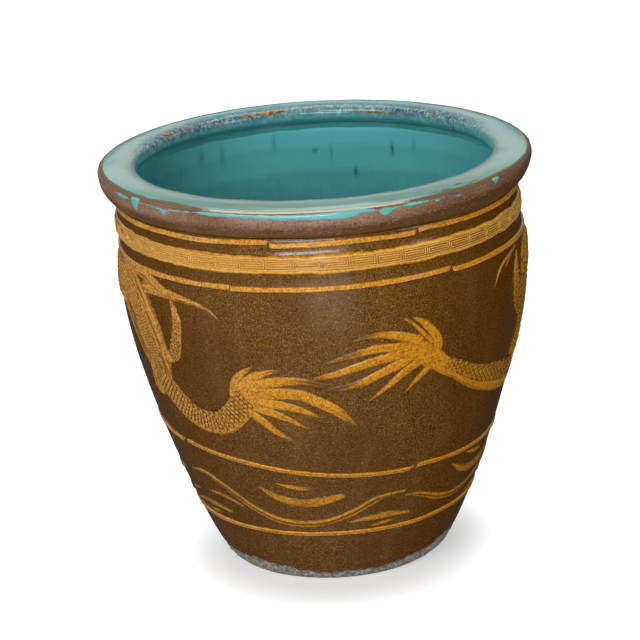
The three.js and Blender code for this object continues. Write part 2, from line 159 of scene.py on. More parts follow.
def through(points: Iterable[Point], steps: int) -> Array:
    """Smooth curve through points, as a uniform Catmull-Rom spline.

    Args:
        points: Angle, height and half width of each point.
        steps: Steps in each span.

    Returns:
        Array of angle, height and half width.
    """
    known = np.asarray(list(points), float)
    padded = np.vstack([2 * known[0] - known[1], known, 2 * known[-1] - known[-2]])
    share = np.linspace(0.0, 1.0, steps, endpoint=False)[:, None]
    spans = []
    for before, start, end, after in zip(padded, padded[1:], padded[2:], padded[3:]):
        spans.append(0.5 * (2 * start + (end - before) * share
                            + (2 * before - 5 * start + 4 * end - after) * share**2
                            + (3 * start - before - 3 * end + after) * share**3))
    return np.vstack([*spans, known[-1:]])


# Surfaces of the pot


def node_top(node: str) -> float:
    """Top of a CAD node."""
    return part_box(node)[1][2] / MM


def node_reach(node: str) -> float:
    """Widest radius of a CAD node."""
    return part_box(node)[1][0] / MM


def node_middle(node: str) -> float:
    """Height of a CAD node's middle."""
    low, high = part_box(node)
    return (low[2] + high[2]) / 2 / MM


def node_rings(node: str) -> tuple[Array, Array]:
    """Radius and height of each vertex of a CAD node."""
    rows = np.array([vertex.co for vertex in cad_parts[node].data.vertices]) / MM
    return np.hypot(rows[:, 0], rows[:, 1]), rows[:, 2]


@dataclass(frozen=True)
class Throwing:
    """How the hand-thrown pot strays from a true turned form.

    Attributes:
        sway: Depth of the broad waves of the wall.
        finger: Depth of the finger marks.
        channels: Depth, height and reach of each groove between the bands.
        flare: Swelling of the mouth at the left, and the heights between which it grows.
        dents: Depth, angle, height and reach in height of each dent.
        dent_turn: Reach of a dent in degrees.
        even: Radii between which the floor turns uneven.
        sag: Lean of the mouth to the left, and the heights between which it grows.
        rise: Half the mouth's rise at the back, and the heights between which it grows.
    """

    sway: float = 0.7
    finger: float = 0.18
    channels: tuple[Point, ...] = ((1.0, 412.6, 3.8), (1.1, 381.5, 5.0))
    flare: Point = (1.3, 415.0, 440.0)
    dents: tuple[tuple[float, ...], ...] = ((3.0, -85.0, 368.0, 32.0), (2.6, 85.0, 396.0, 22.0))
    dent_turn: float = 34.0
    even: tuple[float, float] = (20.0, 120.0)
    sag: Point = (1.6, 300.0, 450.0)
    rise: Point = (1.3, 360.0, 450.0)

    def off_round(self, angle: Array, height: Array) -> Array:
        """How far the wall stands off its true circle.

        Args:
            angle: Degrees.
            height: Millimetres.

        Returns:
            Millimetres, positive outwards.
        """
        side = turned(angle)
        off = self.sway * ring_noise(angle, height, 7, 120.0, 3)
        off = off + self.finger * ring_noise(angle, height, 26, 16.0, 5)
        off = off - sum(depth * hump(height, level, reach) for depth, level, reach in self.channels)
        flare, low, high = self.flare
        off = off + flare * smooth(height, low, high) * hump(side, -90.0, 50.0)
        for depth, place, level, reach in self.dents:
            off = off - depth * hump(side, place, self.dent_turn) * hump(height, level, reach)
        return off

    def lean(self, height: Array) -> Array:
        """Sideways sag of the mouth, negative to the left."""
        most, low, high = self.sag
        return -most * smooth(height, low, high)

    def tip(self, angle: Array, height: Array) -> Array:
        """Rise of the mouth towards the back."""
        most, low, high = self.rise
        return most * smooth(height, low, high) * (1.0 - np.cos(np.radians(angle)))


THROWN = Throwing()


@dataclass(frozen=True)
class TurnedSurface:
    """A contour turned about the pot's axis.

    Attributes:
        along: Distance of each contour point along the contour.
        radius: Radius of each contour point.
        height: Height of each contour point.
    """

    along: Array
    radius: Array
    height: Array

    @classmethod
    def by_height(cls, points: Array) -> "TurnedSurface":
        """Surface whose places are given by their height."""
        return cls(points[:, 1], points[:, 0], points[:, 1])

    @classmethod
    def by_length(cls, points: Array) -> "TurnedSurface":
        """Surface whose places are given by the length of contour up to them."""
        step = np.hypot(*np.diff(points, axis=0).T)
        return cls(np.concatenate([[0.0], np.cumsum(step)]), points[:, 0], points[:, 1])

    def per_degree(self, along: Array) -> Array:
        """Length of one degree of arc."""
        return np.radians(np.interp(along, self.along, self.radius))

    def place(self, angle: Array, along: Array, rise: Array) -> Array:
        """Points on the surface or off it.

        Args:
            angle: Degrees from the front.
            along: Distance along the contour.
            rise: Distance off the surface, along its normal.

        Returns:
            Points in metres.
        """
        angle, along, rise = np.broadcast_arrays(angle, along, rise)
        run_out = np.interp(along, self.along, np.gradient(self.radius, self.along))
        run_up = np.interp(along, self.along, np.gradient(self.height, self.along))
        length = np.hypot(run_out, run_up)
        height = np.interp(along, self.along, self.height)
        radius = np.interp(along, self.along, self.radius) + rise * run_up / length
        radius = radius + THROWN.off_round(angle, height) * smooth(radius, *THROWN.even)
        turn = np.radians(angle)
        x = radius * np.sin(turn) + THROWN.lean(height)
        z = height - rise * run_out / length + THROWN.tip(angle, height)
        return np.stack([x, -radius * np.cos(turn), z], axis=-1) * MM


@dataclass(frozen=True)
class PotForm:
    """Main sizes of the thrown pot; radii and levels come from the frame."""

    foot_chamfer: float = 2.0
    foot_flare: float = 24.0
    foot_reach: float = 31.0
    belly_drop: float = 87.0
    belly_reach: float = 100.0
    shoulder_reach: float = 32.0
    wall: float = 13.0
    rim_side: float = 25.0
    edge_round: float = 1.5
    edge_drop: float = 5.0
    crown_inset: float = 18.0
    lip_round: float = 9.0
    lip_face: float = 4.0
    lip_slope: float = 9.0
    lip_overhang: float = 11.0
    corner_rise: float = 8.0
    corner_pull: float = 4.0
    corner_run: float = 14.0
    axis_gap: float = 2.0
    glaze: float = 1.2
    steps: int = 60
    same_level: float = 0.1

    @property
    def base(self) -> float:
        """Thickness of the floor."""
        return node_top("base_slab")

    @property
    def neck(self) -> tuple[float, float]:
        """Radius and height of the neck."""
        radius, height = node_rings("upper_wall")
        top = height.max()
        return float(radius[height > top - self.same_level].max()), float(top)

    @property
    def foot(self) -> float:
        """Radius of the foot where it would meet the floor with no chamfer."""
        radius, height = node_rings("base_slab")
        return float(radius[height < self.same_level].max()) + self.foot_chamfer

    def outside(self) -> TurnedSurface:
        """Outer face of the wall, from the foot to the neck, by height."""
        belly = node_reach("upper_wall")
        neck_radius, neck_height = self.neck
        middle = neck_height - self.belly_drop
        low = bezier((self.foot, 0.0), (self.foot + self.foot_flare, self.foot_reach),
                     (belly, middle - self.belly_reach), (belly, middle), steps=self.steps)
        high = bezier((belly, middle), (belly, neck_height - self.shoulder_reach),
                      (neck_radius, neck_height), steps=self.steps)
        return TurnedSurface.by_height(np.vstack([low, high[1:]]))

    def mouth(self) -> "MouthSurface":
        """Roll of the rim, crown, lip, inside wall and floor in one contour."""
        neck_radius, neck_height = self.neck
        rim = node_reach("mouth_rim")
        top = node_top("inner_glaze") - self.glaze
        inner = neck_radius - self.wall
        opening = inner - self.lip_overhang
        crown = opening + self.crown_inset
        shoulder = neck_height + self.rim_side
        edge = (rim - self.edge_round, top - self.edge_drop)
        face_top = top - self.lip_round
        face_end = face_top - self.lip_face
        slope_end = face_end - self.lip_slope
        wall = self.outside()
        levels = np.linspace(slope_end, self.base + self.corner_rise, 80)
        inside = np.stack([np.interp(levels, wall.along, wall.radius) - self.wall, levels], axis=1)
        corner = tuple(inside[-1])
        flat = (corner[0] - self.corner_run, self.base)
        parts = {
            "roll": bezier((neck_radius, neck_height), ((neck_radius + rim) / 2, neck_height),
                           (rim, neck_height + self.rim_side / 2), (rim, shoulder), steps=24),
            "edge": bezier((rim, shoulder), (rim, edge[1] + 1.0), edge, steps=8),
            "crown": bezier(edge, ((crown + rim) / 2, top), (crown, top), steps=16),
            "lip": bezier((crown, top), (opening, top), (opening, face_top), steps=24),
            "face": bezier((opening, face_top), (opening, face_end), steps=6),
            "under": bezier((opening, face_end), (opening, face_end - self.lip_slope * 0.7),
                            (inner - 2.0, face_end - self.lip_slope * 0.8), (inner, slope_end), steps=12),
            "inside": inside,
            "floor": bezier(corner, (corner[0] - self.corner_pull, self.base), flat, steps=8),
            "centre": bezier(flat, (self.axis_gap, self.base), steps=24),
        }
        first, *rest = parts.values()
        surface = TurnedSurface.by_length(np.vstack([first, *(part[1:] for part in rest)]))
        counts = np.cumsum([len(part) - 1 for part in parts.values()])
        ends = dict(zip(parts, surface.along[counts].tolist()))
        return MouthSurface(surface, **{each.name: ends[each.name] for each in fields(MouthSurface)[1:]})


@dataclass(frozen=True)
class MouthSurface:
    """Contour of the mouth and the inside, with the length at which parts of it end."""

    surface: TurnedSurface
    edge: float
    lip: float
    face: float
    under: float
    inside: float
    floor: float
    centre: float


FORM = PotForm()
WALL = FORM.outside()


# Meshes


# How deep laid-on slip is bedded, how far below the wall its skirt goes, and the rise at which its cells end
SEAT, SKIRT, LAST_RISE = 1.6, 0.8, -0.15


def linked(name: str, data: bpy.types.ID) -> Piece:
    """New object in the scene."""
    made = bpy.data.objects.new(name, data)
    bpy.context.scene.collection.objects.link(made)
    return made


def mesh_points(piece: Piece) -> Array:
    """Vertices of a piece."""
    values = np.empty(len(piece.data.vertices) * 3, np.float32)
    piece.data.vertices.foreach_get("co", values)
    return values.reshape(-1, 3).astype(float)


def set_mesh_points(piece: Piece, points: Array) -> None:
    """Move the vertices of a piece."""
    piece.data.vertices.foreach_set("co", points.astype(np.float32).ravel())
    piece.data.update()


def vertex_values(piece: Piece, title: str) -> Array:
    """Values of one attribute of a piece."""
    values = np.empty(len(piece.data.vertices), np.float32)
    piece.data.attributes[title].data.foreach_get("value", values)
    return values.astype(float)


def add_values(piece: Piece, title: str, values: Array) -> None:
    """Store one value per vertex."""
    layer = piece.data.attributes.new(title, "FLOAT", "POINT")
    layer.data.foreach_set("value", np.ravel(values).astype(np.float32))


def make_piece(name: str, points: Array, faces: list, attributes: dict[str, Array]) -> Piece:
    """Mesh object with smooth faces and one value per vertex for each attribute.

    Args:
        name: Object name.
        points: Vertices in metres.
        faces: Vertex numbers of each face.
        attributes: Values by attribute name.

    Returns:
        The object, linked to the scene.
    """
    mesh = bpy.data.meshes.new(name)
    mesh.from_pydata(points.reshape(-1, 3).tolist(), [], faces)
    piece = linked(name, mesh)
    for title, values in attributes.items():
        add_values(piece, title, values)
    mesh.shade_smooth()
    mesh.update()
    return piece


def ring_faces(points: Array, closed: bool) -> list[list[int]]:
    """Faces of a section carried round the axis.

    Args:
        points: Points by section and by place in the section.
        closed: Whether a section's last point joins its first; if not, both ends get a flat cap.

    Returns:
        Vertex numbers of each face.
    """
    turns, rows = points.shape[:2]
    index = np.arange(turns * rows).reshape(turns, rows)
    beside = np.roll(index, -1, axis=0)
    if closed:
        above, across = np.roll(index, -1, axis=1), np.roll(beside, -1, axis=1)
        return np.stack([index, beside, across, above], axis=-1).reshape(-1, 4).tolist()
    quads = np.stack([index[:, :-1], beside[:, :-1], beside[:, 1:], index[:, 1:]], axis=-1)
    return [*quads.reshape(-1, 4).tolist(), index[::-1, 0].tolist(), index[:, -1].tolist()]


def finish_piece(piece: Piece, finish: Material,
                 nodes: Iterable[str]) -> None:
    """Give a piece its finish, and let it ride on the pot and stand for CAD nodes.

    Args:
        piece: Finished object.
        finish: Its material.
        nodes: CAD nodes that the piece replaces.
    """
    piece.data.materials.clear()
    piece.data.materials.append(finish)
    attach(piece, ROOT)
    names = list(nodes)
    if names:
        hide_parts(*names)
    LOG.info("%s: %d faces", piece.name, len(piece.data.polygons))


@dataclass
class Sample:
    """Height field of a laid-on piece.

    Attributes:
        rise: Height above the wall in mm; the outline is where it is 0.
        slip: How much slip covers the glaze, 0 to 1.
        groove: How deep a cut line is, 0 to 1.
    """

    rise: Array
    slip: Array
    groove: Array


@dataclass(frozen=True)
class Window:
    """Part of a surface that a laid-on piece lies in."""

    left: float
    right: float
    low: float
    high: float

    def holds(self, angle: Array, along: Array) -> Array:
        """Which places lie inside."""
        return (angle > self.left) & (angle < self.right) & (along > self.low) & (along < self.high)


def laid_on(name: str, surface: TurnedSurface, window: Window, cell: float,
            shape: Callable[[Array, Array], Sample]) -> Piece:
    """Closed relief on a surface, made from a height field.

    Args:
        name: Object name.
        surface: Surface that carries it.
        window: Part of the surface to work on.
        cell: Size of a face in mm.
        shape: Gives the height field at angles and distances along the contour.

    Returns:
        The relief as an object, with its slip and groove as attributes.
    """
    step = cell / float(surface.per_degree(np.array((window.low + window.high) / 2)))
    angle, along = np.meshgrid(np.arange(window.left, window.right + step, step),
                               np.arange(window.low, window.high + cell, cell), indexing="ij")
    sample = shape(angle, along)
    rise = sample.rise
    highest = np.maximum.reduce([rise[:-1, :-1], rise[1:, :-1], rise[1:, 1:], rise[:-1, 1:]])
    kept = without_pinches(highest > LAST_RISE)
    index = np.arange(angle.size).reshape(angle.shape)
    corners = [index[:-1, :-1], index[1:, :-1], index[1:, 1:], index[:-1, 1:]]
    quads = np.stack(corners, axis=-1)[kept]
    faces = [quads, quads[:, ::-1] + angle.size]
    around = np.pad(kept, 1)
    neighbours = [around[1:-1, :-2], around[2:, 1:-1], around[1:-1, 2:], around[:-2, 1:-1]]
    for turn, neighbour in enumerate(neighbours):
        open_side = kept & ~neighbour
        start, end = corners[turn][open_side], corners[(turn + 1) % 4][open_side]
        faces.append(np.stack([end, start, start + angle.size, end + angle.size], axis=-1))
    used, renumbered = np.unique(np.vstack(faces), return_inverse=True)
    top = surface.place(angle, along, np.maximum(rise, -SKIRT)).reshape(-1, 3)
    under = surface.place(angle, along, -SEAT).reshape(-1, 3)
    looks = {"slip": sample.slip, "groove": sample.groove}
    attributes = {title: np.tile(np.ravel(values), 2)[used] for title, values in looks.items()}
    faces = renumbered.reshape(-1, 4).tolist()
    return make_piece(name, np.vstack([top, under])[used], faces, attributes)


def without_pinches(kept: Array) -> Array:
    """Fill the cells of a mask that touch only at a corner."""
    while True:
        a, b, c, d = kept[:-1, :-1], kept[1:, :-1], kept[1:, 1:], kept[:-1, 1:]
        rising, falling = a & c & ~b & ~d, b & d & ~a & ~c
        if not (rising.any() or falling.any()):
            return kept
        kept = kept.copy()
        kept[1:, :-1] |= rising
        kept[:-1, :-1] |= falling


# Node trees


class TreeBuilder:
    """Short-hand for the node trees of shapes and finishes."""

    def __init__(self, tree: bpy.types.NodeTree) -> None:
        """Work on one tree."""
        self.tree = tree

    def add(self, kind: str, inputs: dict | None = None, **settings: object) -> bpy.types.Node:
        """New node.

        Args:
            kind: Node type.
            inputs: Socket values or sockets to link, by socket name or number.
            settings: Properties of the node.

        Returns:
            The node.
        """
        node = self.tree.nodes.new(kind)
        for title, value in settings.items():
            setattr(node, title, value)
        for key, value in (inputs or {}).items():
            self.feed(node.inputs[key], value)
        return node

    def feed(self, socket: Socket, value: object) -> None:
        """Set a socket to a value, or link another socket to it."""
        if isinstance(value, Socket):
            self.tree.links.new(value, socket)
        else:
            socket.default_value = value

    def math(self, operation: str, first: object, second: object,
             third: object = 0.0) -> Socket:
        """Result of a Math node."""
        node = self.add("ShaderNodeMath", {0: first, 1: second, 2: third}, operation=operation)
        return node.outputs[0]

    def times(self, first: object, second: object) -> Socket:
        """Product of two values."""
        return self.math("MULTIPLY", first, second)

    def line(self, value: object, slope: float, start: float) -> Socket:
        """Value times a slope, plus a start."""
        return self.math("MULTIPLY_ADD", value, slope, start)

    def ramp(self, value: object, given: tuple[float, float], result: tuple[float, float],
             kind: str = "LINEAR") -> Socket:
        """Value mapped from one range to another and held at its ends.

        Args:
            value: Socket or number.
            given: Range of the value.
            result: Range of the result.
            kind: Shape of the slope.

        Returns:
            Mapped value.
        """
        ranges = {"From Min": given[0], "From Max": given[1], "To Min": result[0], "To Max": result[1]}
        node = self.add("ShaderNodeMapRange", {"Value": value, **ranges}, interpolation_type=kind)
        return node.outputs["Result"]


class ShapeTree(TreeBuilder):
    """Geometry Nodes tree with named inputs, which ends in Realize Instances and Set Material."""

    def __init__(self, name: str, inputs: dict[str, str]) -> None:
        """Start a tree with a geometry input and output.

        Args:
            name: Name of the tree.
            inputs: Kinds of its other inputs by name; a material is added to them.
        """
        super().__init__(bpy.data.node_groups.new(name, "GeometryNodeTree"))
        self.identifiers: dict[str, str] = {}
        panel = self.tree.interface
        for title, kind in {"Geometry": "Geometry", **inputs, "Material": "Material"}.items():
            made = panel.new_socket(title, in_out="INPUT", socket_type=f"NodeSocket{kind}")
            self.identifiers[title] = made.identifier
        panel.new_socket("Geometry", in_out="OUTPUT", socket_type="NodeSocketGeometry")
        self.start = self.tree.nodes.new("NodeGroupInput")

    def end(self, geometry: Socket) -> None:
        """Realize the instances, set the material and close the tree."""
        real = self.add("GeometryNodeRealizeInstances", {"Geometry": geometry})
        material = self.start.outputs["Material"]
        dressed = self.add("GeometryNodeSetMaterial", {"Geometry": real.outputs[0], "Material": material})
        self.tree.links.new(dressed.outputs[0], self.add("NodeGroupOutput").inputs[0])

    def run(self, piece: Piece, values: dict[str, object]) -> None:
        """Run the tree on a piece and keep its result as a plain mesh.

        Args:
            piece: Object that carries the tree's input geometry.
            values: Inputs by name.
        """
        modifier = piece.modifiers.new(self.tree.name, "NODES")
        modifier.node_group = self.tree
        for name, value in values.items():
            modifier[self.identifiers[name]] = value
        bpy.context.view_layer.update()
        graph = bpy.context.evaluated_depsgraph_get()
        mesh = bpy.data.meshes.new_from_object(piece.evaluated_get(graph))
        piece.modifiers.remove(modifier)
        piece.data = mesh


class FinishTree(TreeBuilder):
    """Material with a Principled shader, read in Object coordinates."""

    def __init__(self, name: str) -> None:
        """Start a material."""
        self.material = bpy.data.materials.new(name)
        self.material.use_nodes = True
        super().__init__(self.material.node_tree)
        self.shader = self.tree.nodes["Principled BSDF"]
        self.place = self.add("ShaderNodeTexCoord").outputs["Object"]

    def noise(self, scale: float, detail: float = 2.0, rough: float = 0.5,
              stretch: Point = (1.0, 1.0, 1.0), shift: float = 0.0) -> Socket:
        """Noise value at a number of cells per metre.

        Args:
            scale: Cells per metre.
            detail: Octaves.
            rough: Weight of the finer octaves.
            stretch: Factor on each axis; a small one draws the pattern out.
            shift: Moves the pattern.

        Returns:
            Socket with values of about 0.25 to 0.75.
        """
        mapping = self.add("ShaderNodeMapping", {"Vector": self.place, "Scale": stretch,
                                                 "Location": (shift, shift, shift)})
        return self.add("ShaderNodeTexNoise", {"Vector": mapping.outputs[0], "Scale": scale,
                                               "Detail": detail, "Roughness": rough}).outputs["Fac"]

    def attribute(self, name: str) -> Socket:
        """Value of a vertex attribute."""
        return self.add("ShaderNodeAttribute", attribute_name=name).outputs["Fac"]

    def between(self, value: object, low: float, high: float) -> Socket:
        """Ease a value from 0 at low to 1 at high."""
        return self.ramp(value, (low, high), (0.0, 1.0), "SMOOTHSTEP")

    def across(self, start: float, end: float, most: float) -> Socket:
        """Share that grows between two places from left to right, up to a most."""
        beside = self.add("ShaderNodeSeparateXYZ", {0: self.place}).outputs["X"]
        return self.times(self.between(beside, start, end), most)

    def mix(self, share: object, first: object, second: object) -> Socket:
        """Blend of two colours, each a tuple or a socket."""
        node = self.add("ShaderNodeMix", {0: share}, data_type="RGBA")
        for socket, colour in ((6, first), (7, second)):
            self.feed(node.inputs[socket], (*colour, 1.0) if isinstance(colour, tuple) else colour)
        return node.outputs[2]

    def marked(self, colour: object, **tones: Colour) -> Socket:
        """Colour with a tone laid over it for each attribute, in their order."""
        for title, tone in tones.items():
            colour = self.mix(self.attribute(title), colour, tone)
        return colour

    def bump(self, height: Socket, distance: float, strength: float = 1.0,
             below: Socket | None = None) -> Socket:
        """Normal of a bumpy surface.

        Args:
            height: Socket from 0 to 1.
            distance: Depth of the bumps in mm.
            strength: Share of the effect.
            below: Normal of a coarser bump under this one.

        Returns:
            Normal socket.
        """
        depth = {"Distance": distance * MM, "Strength": strength}
        node = self.add("ShaderNodeBump", {"Height": height, **depth})
        if below:
            self.feed(node.inputs["Normal"], below)
        return node.outputs[0]

    def close(self, colour: object, roughness: object, normal: object,
              **fixed: float) -> Material:
        """Feed the shader.

        Args:
            colour: Base colour socket.
            roughness: Roughness socket or value.
            normal: Normal socket.
            fixed: Other sockets of the shader, with underscores for spaces.

        Returns:
            The material.
        """
        self.feed(self.shader.inputs["Base Color"], colour)
        self.feed(self.shader.inputs["Roughness"], roughness)
        self.feed(self.shader.inputs["Normal"], normal)
        for name, value in fixed.items():
            self.feed(self.shader.inputs[name.replace("_", " ")], value)
        return self.material


# Finishes


@dataclass(frozen=True)
class BrownGlaze:
    """Speckled brown glaze that stops short of the bare foot, with painted shade towards the left and right
    sides.
    """

    name: str = "speckled_brown_glaze"
    body: Colour = (0.150, 0.060, 0.0045)
    dark: Colour = (0.056, 0.020, 0.0012)
    fleck: Colour = (0.300, 0.152, 0.045)
    pool_and_side_shade: Colour = (0.085, 0.028, 0.0012)
    pale: Colour = (0.420, 0.290, 0.150)
    clay: Colour = (0.430, 0.400, 0.350)
    soot: Colour = (0.150, 0.136, 0.116)
    rust: Colour = (0.200, 0.150, 0.100)
    gloss: float = 0.12

    def material(self) -> Material:
        """Build the material."""
        tree = FinishTree(self.name)
        fine = tree.noise(620.0, 1.0, 0.6)
        grain = tree.noise(700.0, 1.0, 0.6, shift=0.3)
        broad = tree.noise(9.0, 3.0, 0.55)
        runs = tree.noise(42.0, 2.0, 0.5, (1.0, 1.0, 0.12))
        colour = tree.mix(tree.between(fine, 0.34, 0.60), self.dark, self.body)
        colour = tree.mix(tree.between(grain, 0.55, 0.74), colour, self.fleck)
        shade = tree.times(tree.between(broad, 0.40, 0.66), 0.45)
        colour = tree.mix(shade, colour, self.pool_and_side_shade)
        shade = tree.times(tree.between(runs, 0.50, 0.72), 0.12)
        colour = tree.mix(shade, colour, self.fleck)
        sparse = tree.between(tree.noise(460.0, 1.0, 0.5, shift=0.9), 0.68, 0.76)
        colour = tree.mix(tree.times(sparse, 0.45), colour, self.pale)
        # Painted shade: the brown darkens towards the right and the left side of the pot.
        colour = tree.mix(tree.across(0.05, 0.20, 0.60), colour, self.pool_and_side_shade)
        colour = tree.mix(tree.across(-0.06, -0.18, 0.40), colour, self.pool_and_side_shade)
        bare = tree.attribute("bare")
        rock = tree.mix(tree.between(tree.noise(260.0, 4.0, 0.7), 0.40, 0.62), self.soot, self.clay)
        rust = tree.between(tree.noise(70.0, 3.0, 0.7, shift=0.6), 0.50, 0.62)
        rock = tree.mix(tree.times(rust, 0.35), rock, self.rust)
        colour = tree.mix(bare, colour, rock)
        rough = tree.math("ADD", tree.times(bare, 0.65), tree.line(fine, 0.20, self.gloss - 0.07))
        peel = tree.bump(tree.noise(75.0, 2.0), 0.9, 0.25)
        return tree.close(colour, rough, tree.bump(fine, 0.25, 0.30, peel), Specular_IOR_Level=0.36)


@dataclass(frozen=True)
class OchreSlip:
    """Ochre slip under the glaze: thin slip shows the brown below it, thick slip turns lighter gold, partly
    as painted sheen, and cut lines hold brown glaze.
    """

    name: str = "ochre_slip"
    bright: Colour = (0.66, 0.300, 0.022)
    amber: Colour = (0.360, 0.132, 0.004)
    cream: Colour = (0.650, 0.350, 0.115)
    gold_and_sheen: Colour = (0.760, 0.420, 0.085)
    orange: Colour = (0.660, 0.270, 0.004)
    brown: Colour = (0.115, 0.046, 0.004)
    line: Colour = (0.070, 0.028, 0.004)
    gloss: float = 0.17

    def material(self) -> Material:
        """Build the material."""
        tree = FinishTree(self.name)
        broad = tree.noise(330.0, 3.0, 0.65)
        fine = tree.noise(680.0, 1.0, 0.6)
        colour = tree.mix(tree.across(-0.05, -0.13, 0.60), self.bright, self.cream)
        colour = tree.mix(tree.across(0.03, 0.12, 0.70), colour, self.orange)
        colour = tree.mix(tree.between(broad, 0.36, 0.56), self.amber, colour)
        slip = tree.attribute("slip")
        thick = tree.between(slip, 1.0, 1.5)
        # Thick slip on the fret turns lighter gold: partly the slip's own colour, partly painted sheen.
        colour = tree.mix(tree.times(thick, 0.65), colour, self.gold_and_sheen)
        specks = tree.times(tree.between(fine, 0.50, 0.64), tree.line(thick, -0.60, 0.85))
        colour = tree.mix(specks, colour, self.amber)
        thin = tree.math("ADD", slip, tree.line(fine, 1.1, -0.55))
        cover = tree.between(thin, 0.10, 0.80)
        colour = tree.mix(cover, self.brown, colour)
        colour = tree.mix(tree.attribute("groove"), colour, self.line)
        rough = tree.line(fine, 0.20, self.gloss - 0.05)
        peel = tree.bump(tree.noise(140.0, 2.0), 0.7, 0.30)
        return tree.close(colour, rough, tree.bump(fine, 0.25, 0.35, peel), Specular_IOR_Level=0.34)


@dataclass(frozen=True)
class TurquoiseGlaze:
    """Turquoise glaze with downward streaks, which breaks to brown and blue where it is thin, with painted
    light and shade inside the mouth and on its crown.
    """

    name: str = "turquoise_glaze"
    body: Colour = (0.075, 0.365, 0.375)
    light: Colour = (0.110, 0.430, 0.430)
    # Darker turquoise of the streaks, also the colour of the painted shade inside and on the crown.
    deep: Colour = (0.032, 0.165, 0.172)
    blue: Colour = (0.030, 0.070, 0.150)
    purple: Colour = (0.110, 0.085, 0.110)
    fresh: Colour = (0.135, 0.560, 0.590)
    ochre: Colour = (0.340, 0.215, 0.085)
    brown: Colour = (0.105, 0.050, 0.016)
    worn: Colour = (0.520, 0.420, 0.250)
    scuffed: Colour = (0.130, 0.075, 0.028)
    soot: Colour = (0.030, 0.036, 0.036)
    chalk: Colour = (0.250, 0.370, 0.325)
    dull: Colour = (0.150, 0.250, 0.180)
    gloss: float = 0.16

    def material(self) -> Material:
        """Build the material."""
        tree = FinishTree(self.name)
        streak = tree.noise(260.0, 2.0, 0.6, (1.0, 1.0, 0.10))
        cloud = tree.noise(22.0, 3.0, 0.6)
        fine = tree.noise(420.0, 3.0, 0.6)
        colour = tree.mix(tree.between(cloud, 0.36, 0.66), self.body, self.light)
        drawn = tree.times(tree.between(streak, 0.52, 0.76), tree.times(tree.attribute("inside"), 0.36))
        colour = tree.mix(drawn, colour, self.deep)
        # Lays on painted light on the upper back inside wall, the rim top's chalk, painted shade on the front
        # crown, and painted shade with depth inside.
        colour = tree.marked(colour, fresh=self.fresh, chalk=self.chalk, dull=self.dull, depth=self.deep)
        spots = tree.between(tree.noise(260.0, 4.0, 0.75, (1.0, 1.0, 0.5)), 0.40, 0.54)
        tint = tree.between(tree.noise(90.0, 3.0, 0.6, shift=0.7), 0.44, 0.58)
        tint = tree.mix(tint, self.blue, self.purple)
        colour = tree.mix(tree.times(tree.attribute("mottle"), spots), colour, tint)
        broken = tree.math("ADD", tree.attribute("break"), tree.line(fine, 0.8, -0.4))
        patchy = tree.between(tree.noise(210.0, 3.0, 0.7, shift=0.5), 0.42, 0.60)
        patchy = tree.mix(patchy, self.brown, self.ochre)
        colour = tree.mix(tree.between(broken, 0.35, 0.75), colour, patchy)
        colour = tree.marked(colour, stain=self.blue, soot=self.soot)
        wear = tree.attribute("wear")
        dirt = tree.line(tree.noise(60.0, 3.0, 0.7, shift=0.2), 1.0, -0.5)
        dirt = tree.math("ADD", tree.attribute("scuff"), dirt)
        edge = tree.mix(tree.between(dirt, 0.15, 0.65), self.worn, self.scuffed)
        colour = tree.mix(wear, colour, edge)
        rough = tree.line(wear, 0.45, self.gloss)
        peel = tree.bump(tree.noise(60.0, 2.0), 0.8, 0.22)
        return tree.close(colour, rough, tree.bump(fine, 0.2, 0.15, peel), IOR=1.5)


@dataclass(frozen=True)
class RimGlaze:
    """Thin purplish brown glaze of the roll, with painted shade in the neck and along the ledge under the
    worn edge.
    """

    name: str = "rim_brown_glaze"
    plum: Colour = (0.310, 0.178, 0.122)
    brown: Colour = (0.120, 0.048, 0.008)
    dark: Colour = (0.045, 0.019, 0.004)
    fleck: Colour = (0.37, 0.235, 0.150)
    gloss: float = 0.30

    def material(self) -> Material:
        """Build the material."""
        tree = FinishTree(self.name)
        fine = tree.noise(560.0, 2.0, 0.65)
        broad = tree.noise(11.0, 3.0, 0.6)
        colour = tree.mix(tree.times(tree.between(broad, 0.42, 0.66), 0.5), self.plum, self.brown)
        colour = tree.mix(tree.attribute("warm"), colour, self.brown)
        colour = tree.mix(tree.times(tree.between(fine, 0.50, 0.66), 0.65), colour, self.dark)
        light = tree.between(tree.noise(480.0, 2.0, 0.7, shift=0.4), 0.54, 0.70)
        colour = tree.mix(tree.times(light, 0.75), colour, self.fleck)
        # Painted shade in the neck under the roll and in the ledge below the edge.
        colour = tree.mix(tree.attribute("shade"), colour, self.dark)
        rough = tree.line(fine, 0.25, self.gloss - 0.06)
        peel = tree.bump(tree.noise(90.0, 2.0), 0.9, 0.3)
        return tree.close(colour, rough, tree.bump(fine, 0.3, 0.4, peel), IOR=1.5)


@dataclass(frozen=True)
class Finishes:
    """Materials of the pot."""

    brown: Material
    slip: Material
    turquoise: Material
    rim: Material

    @classmethod
    def mixed(cls) -> "Finishes":
        """Mix every glaze once."""
        glazes = (BrownGlaze(), OchreSlip(), TurquoiseGlaze(), RimGlaze())
        return cls(*(glaze.material() for glaze in glazes))


# Thrown body


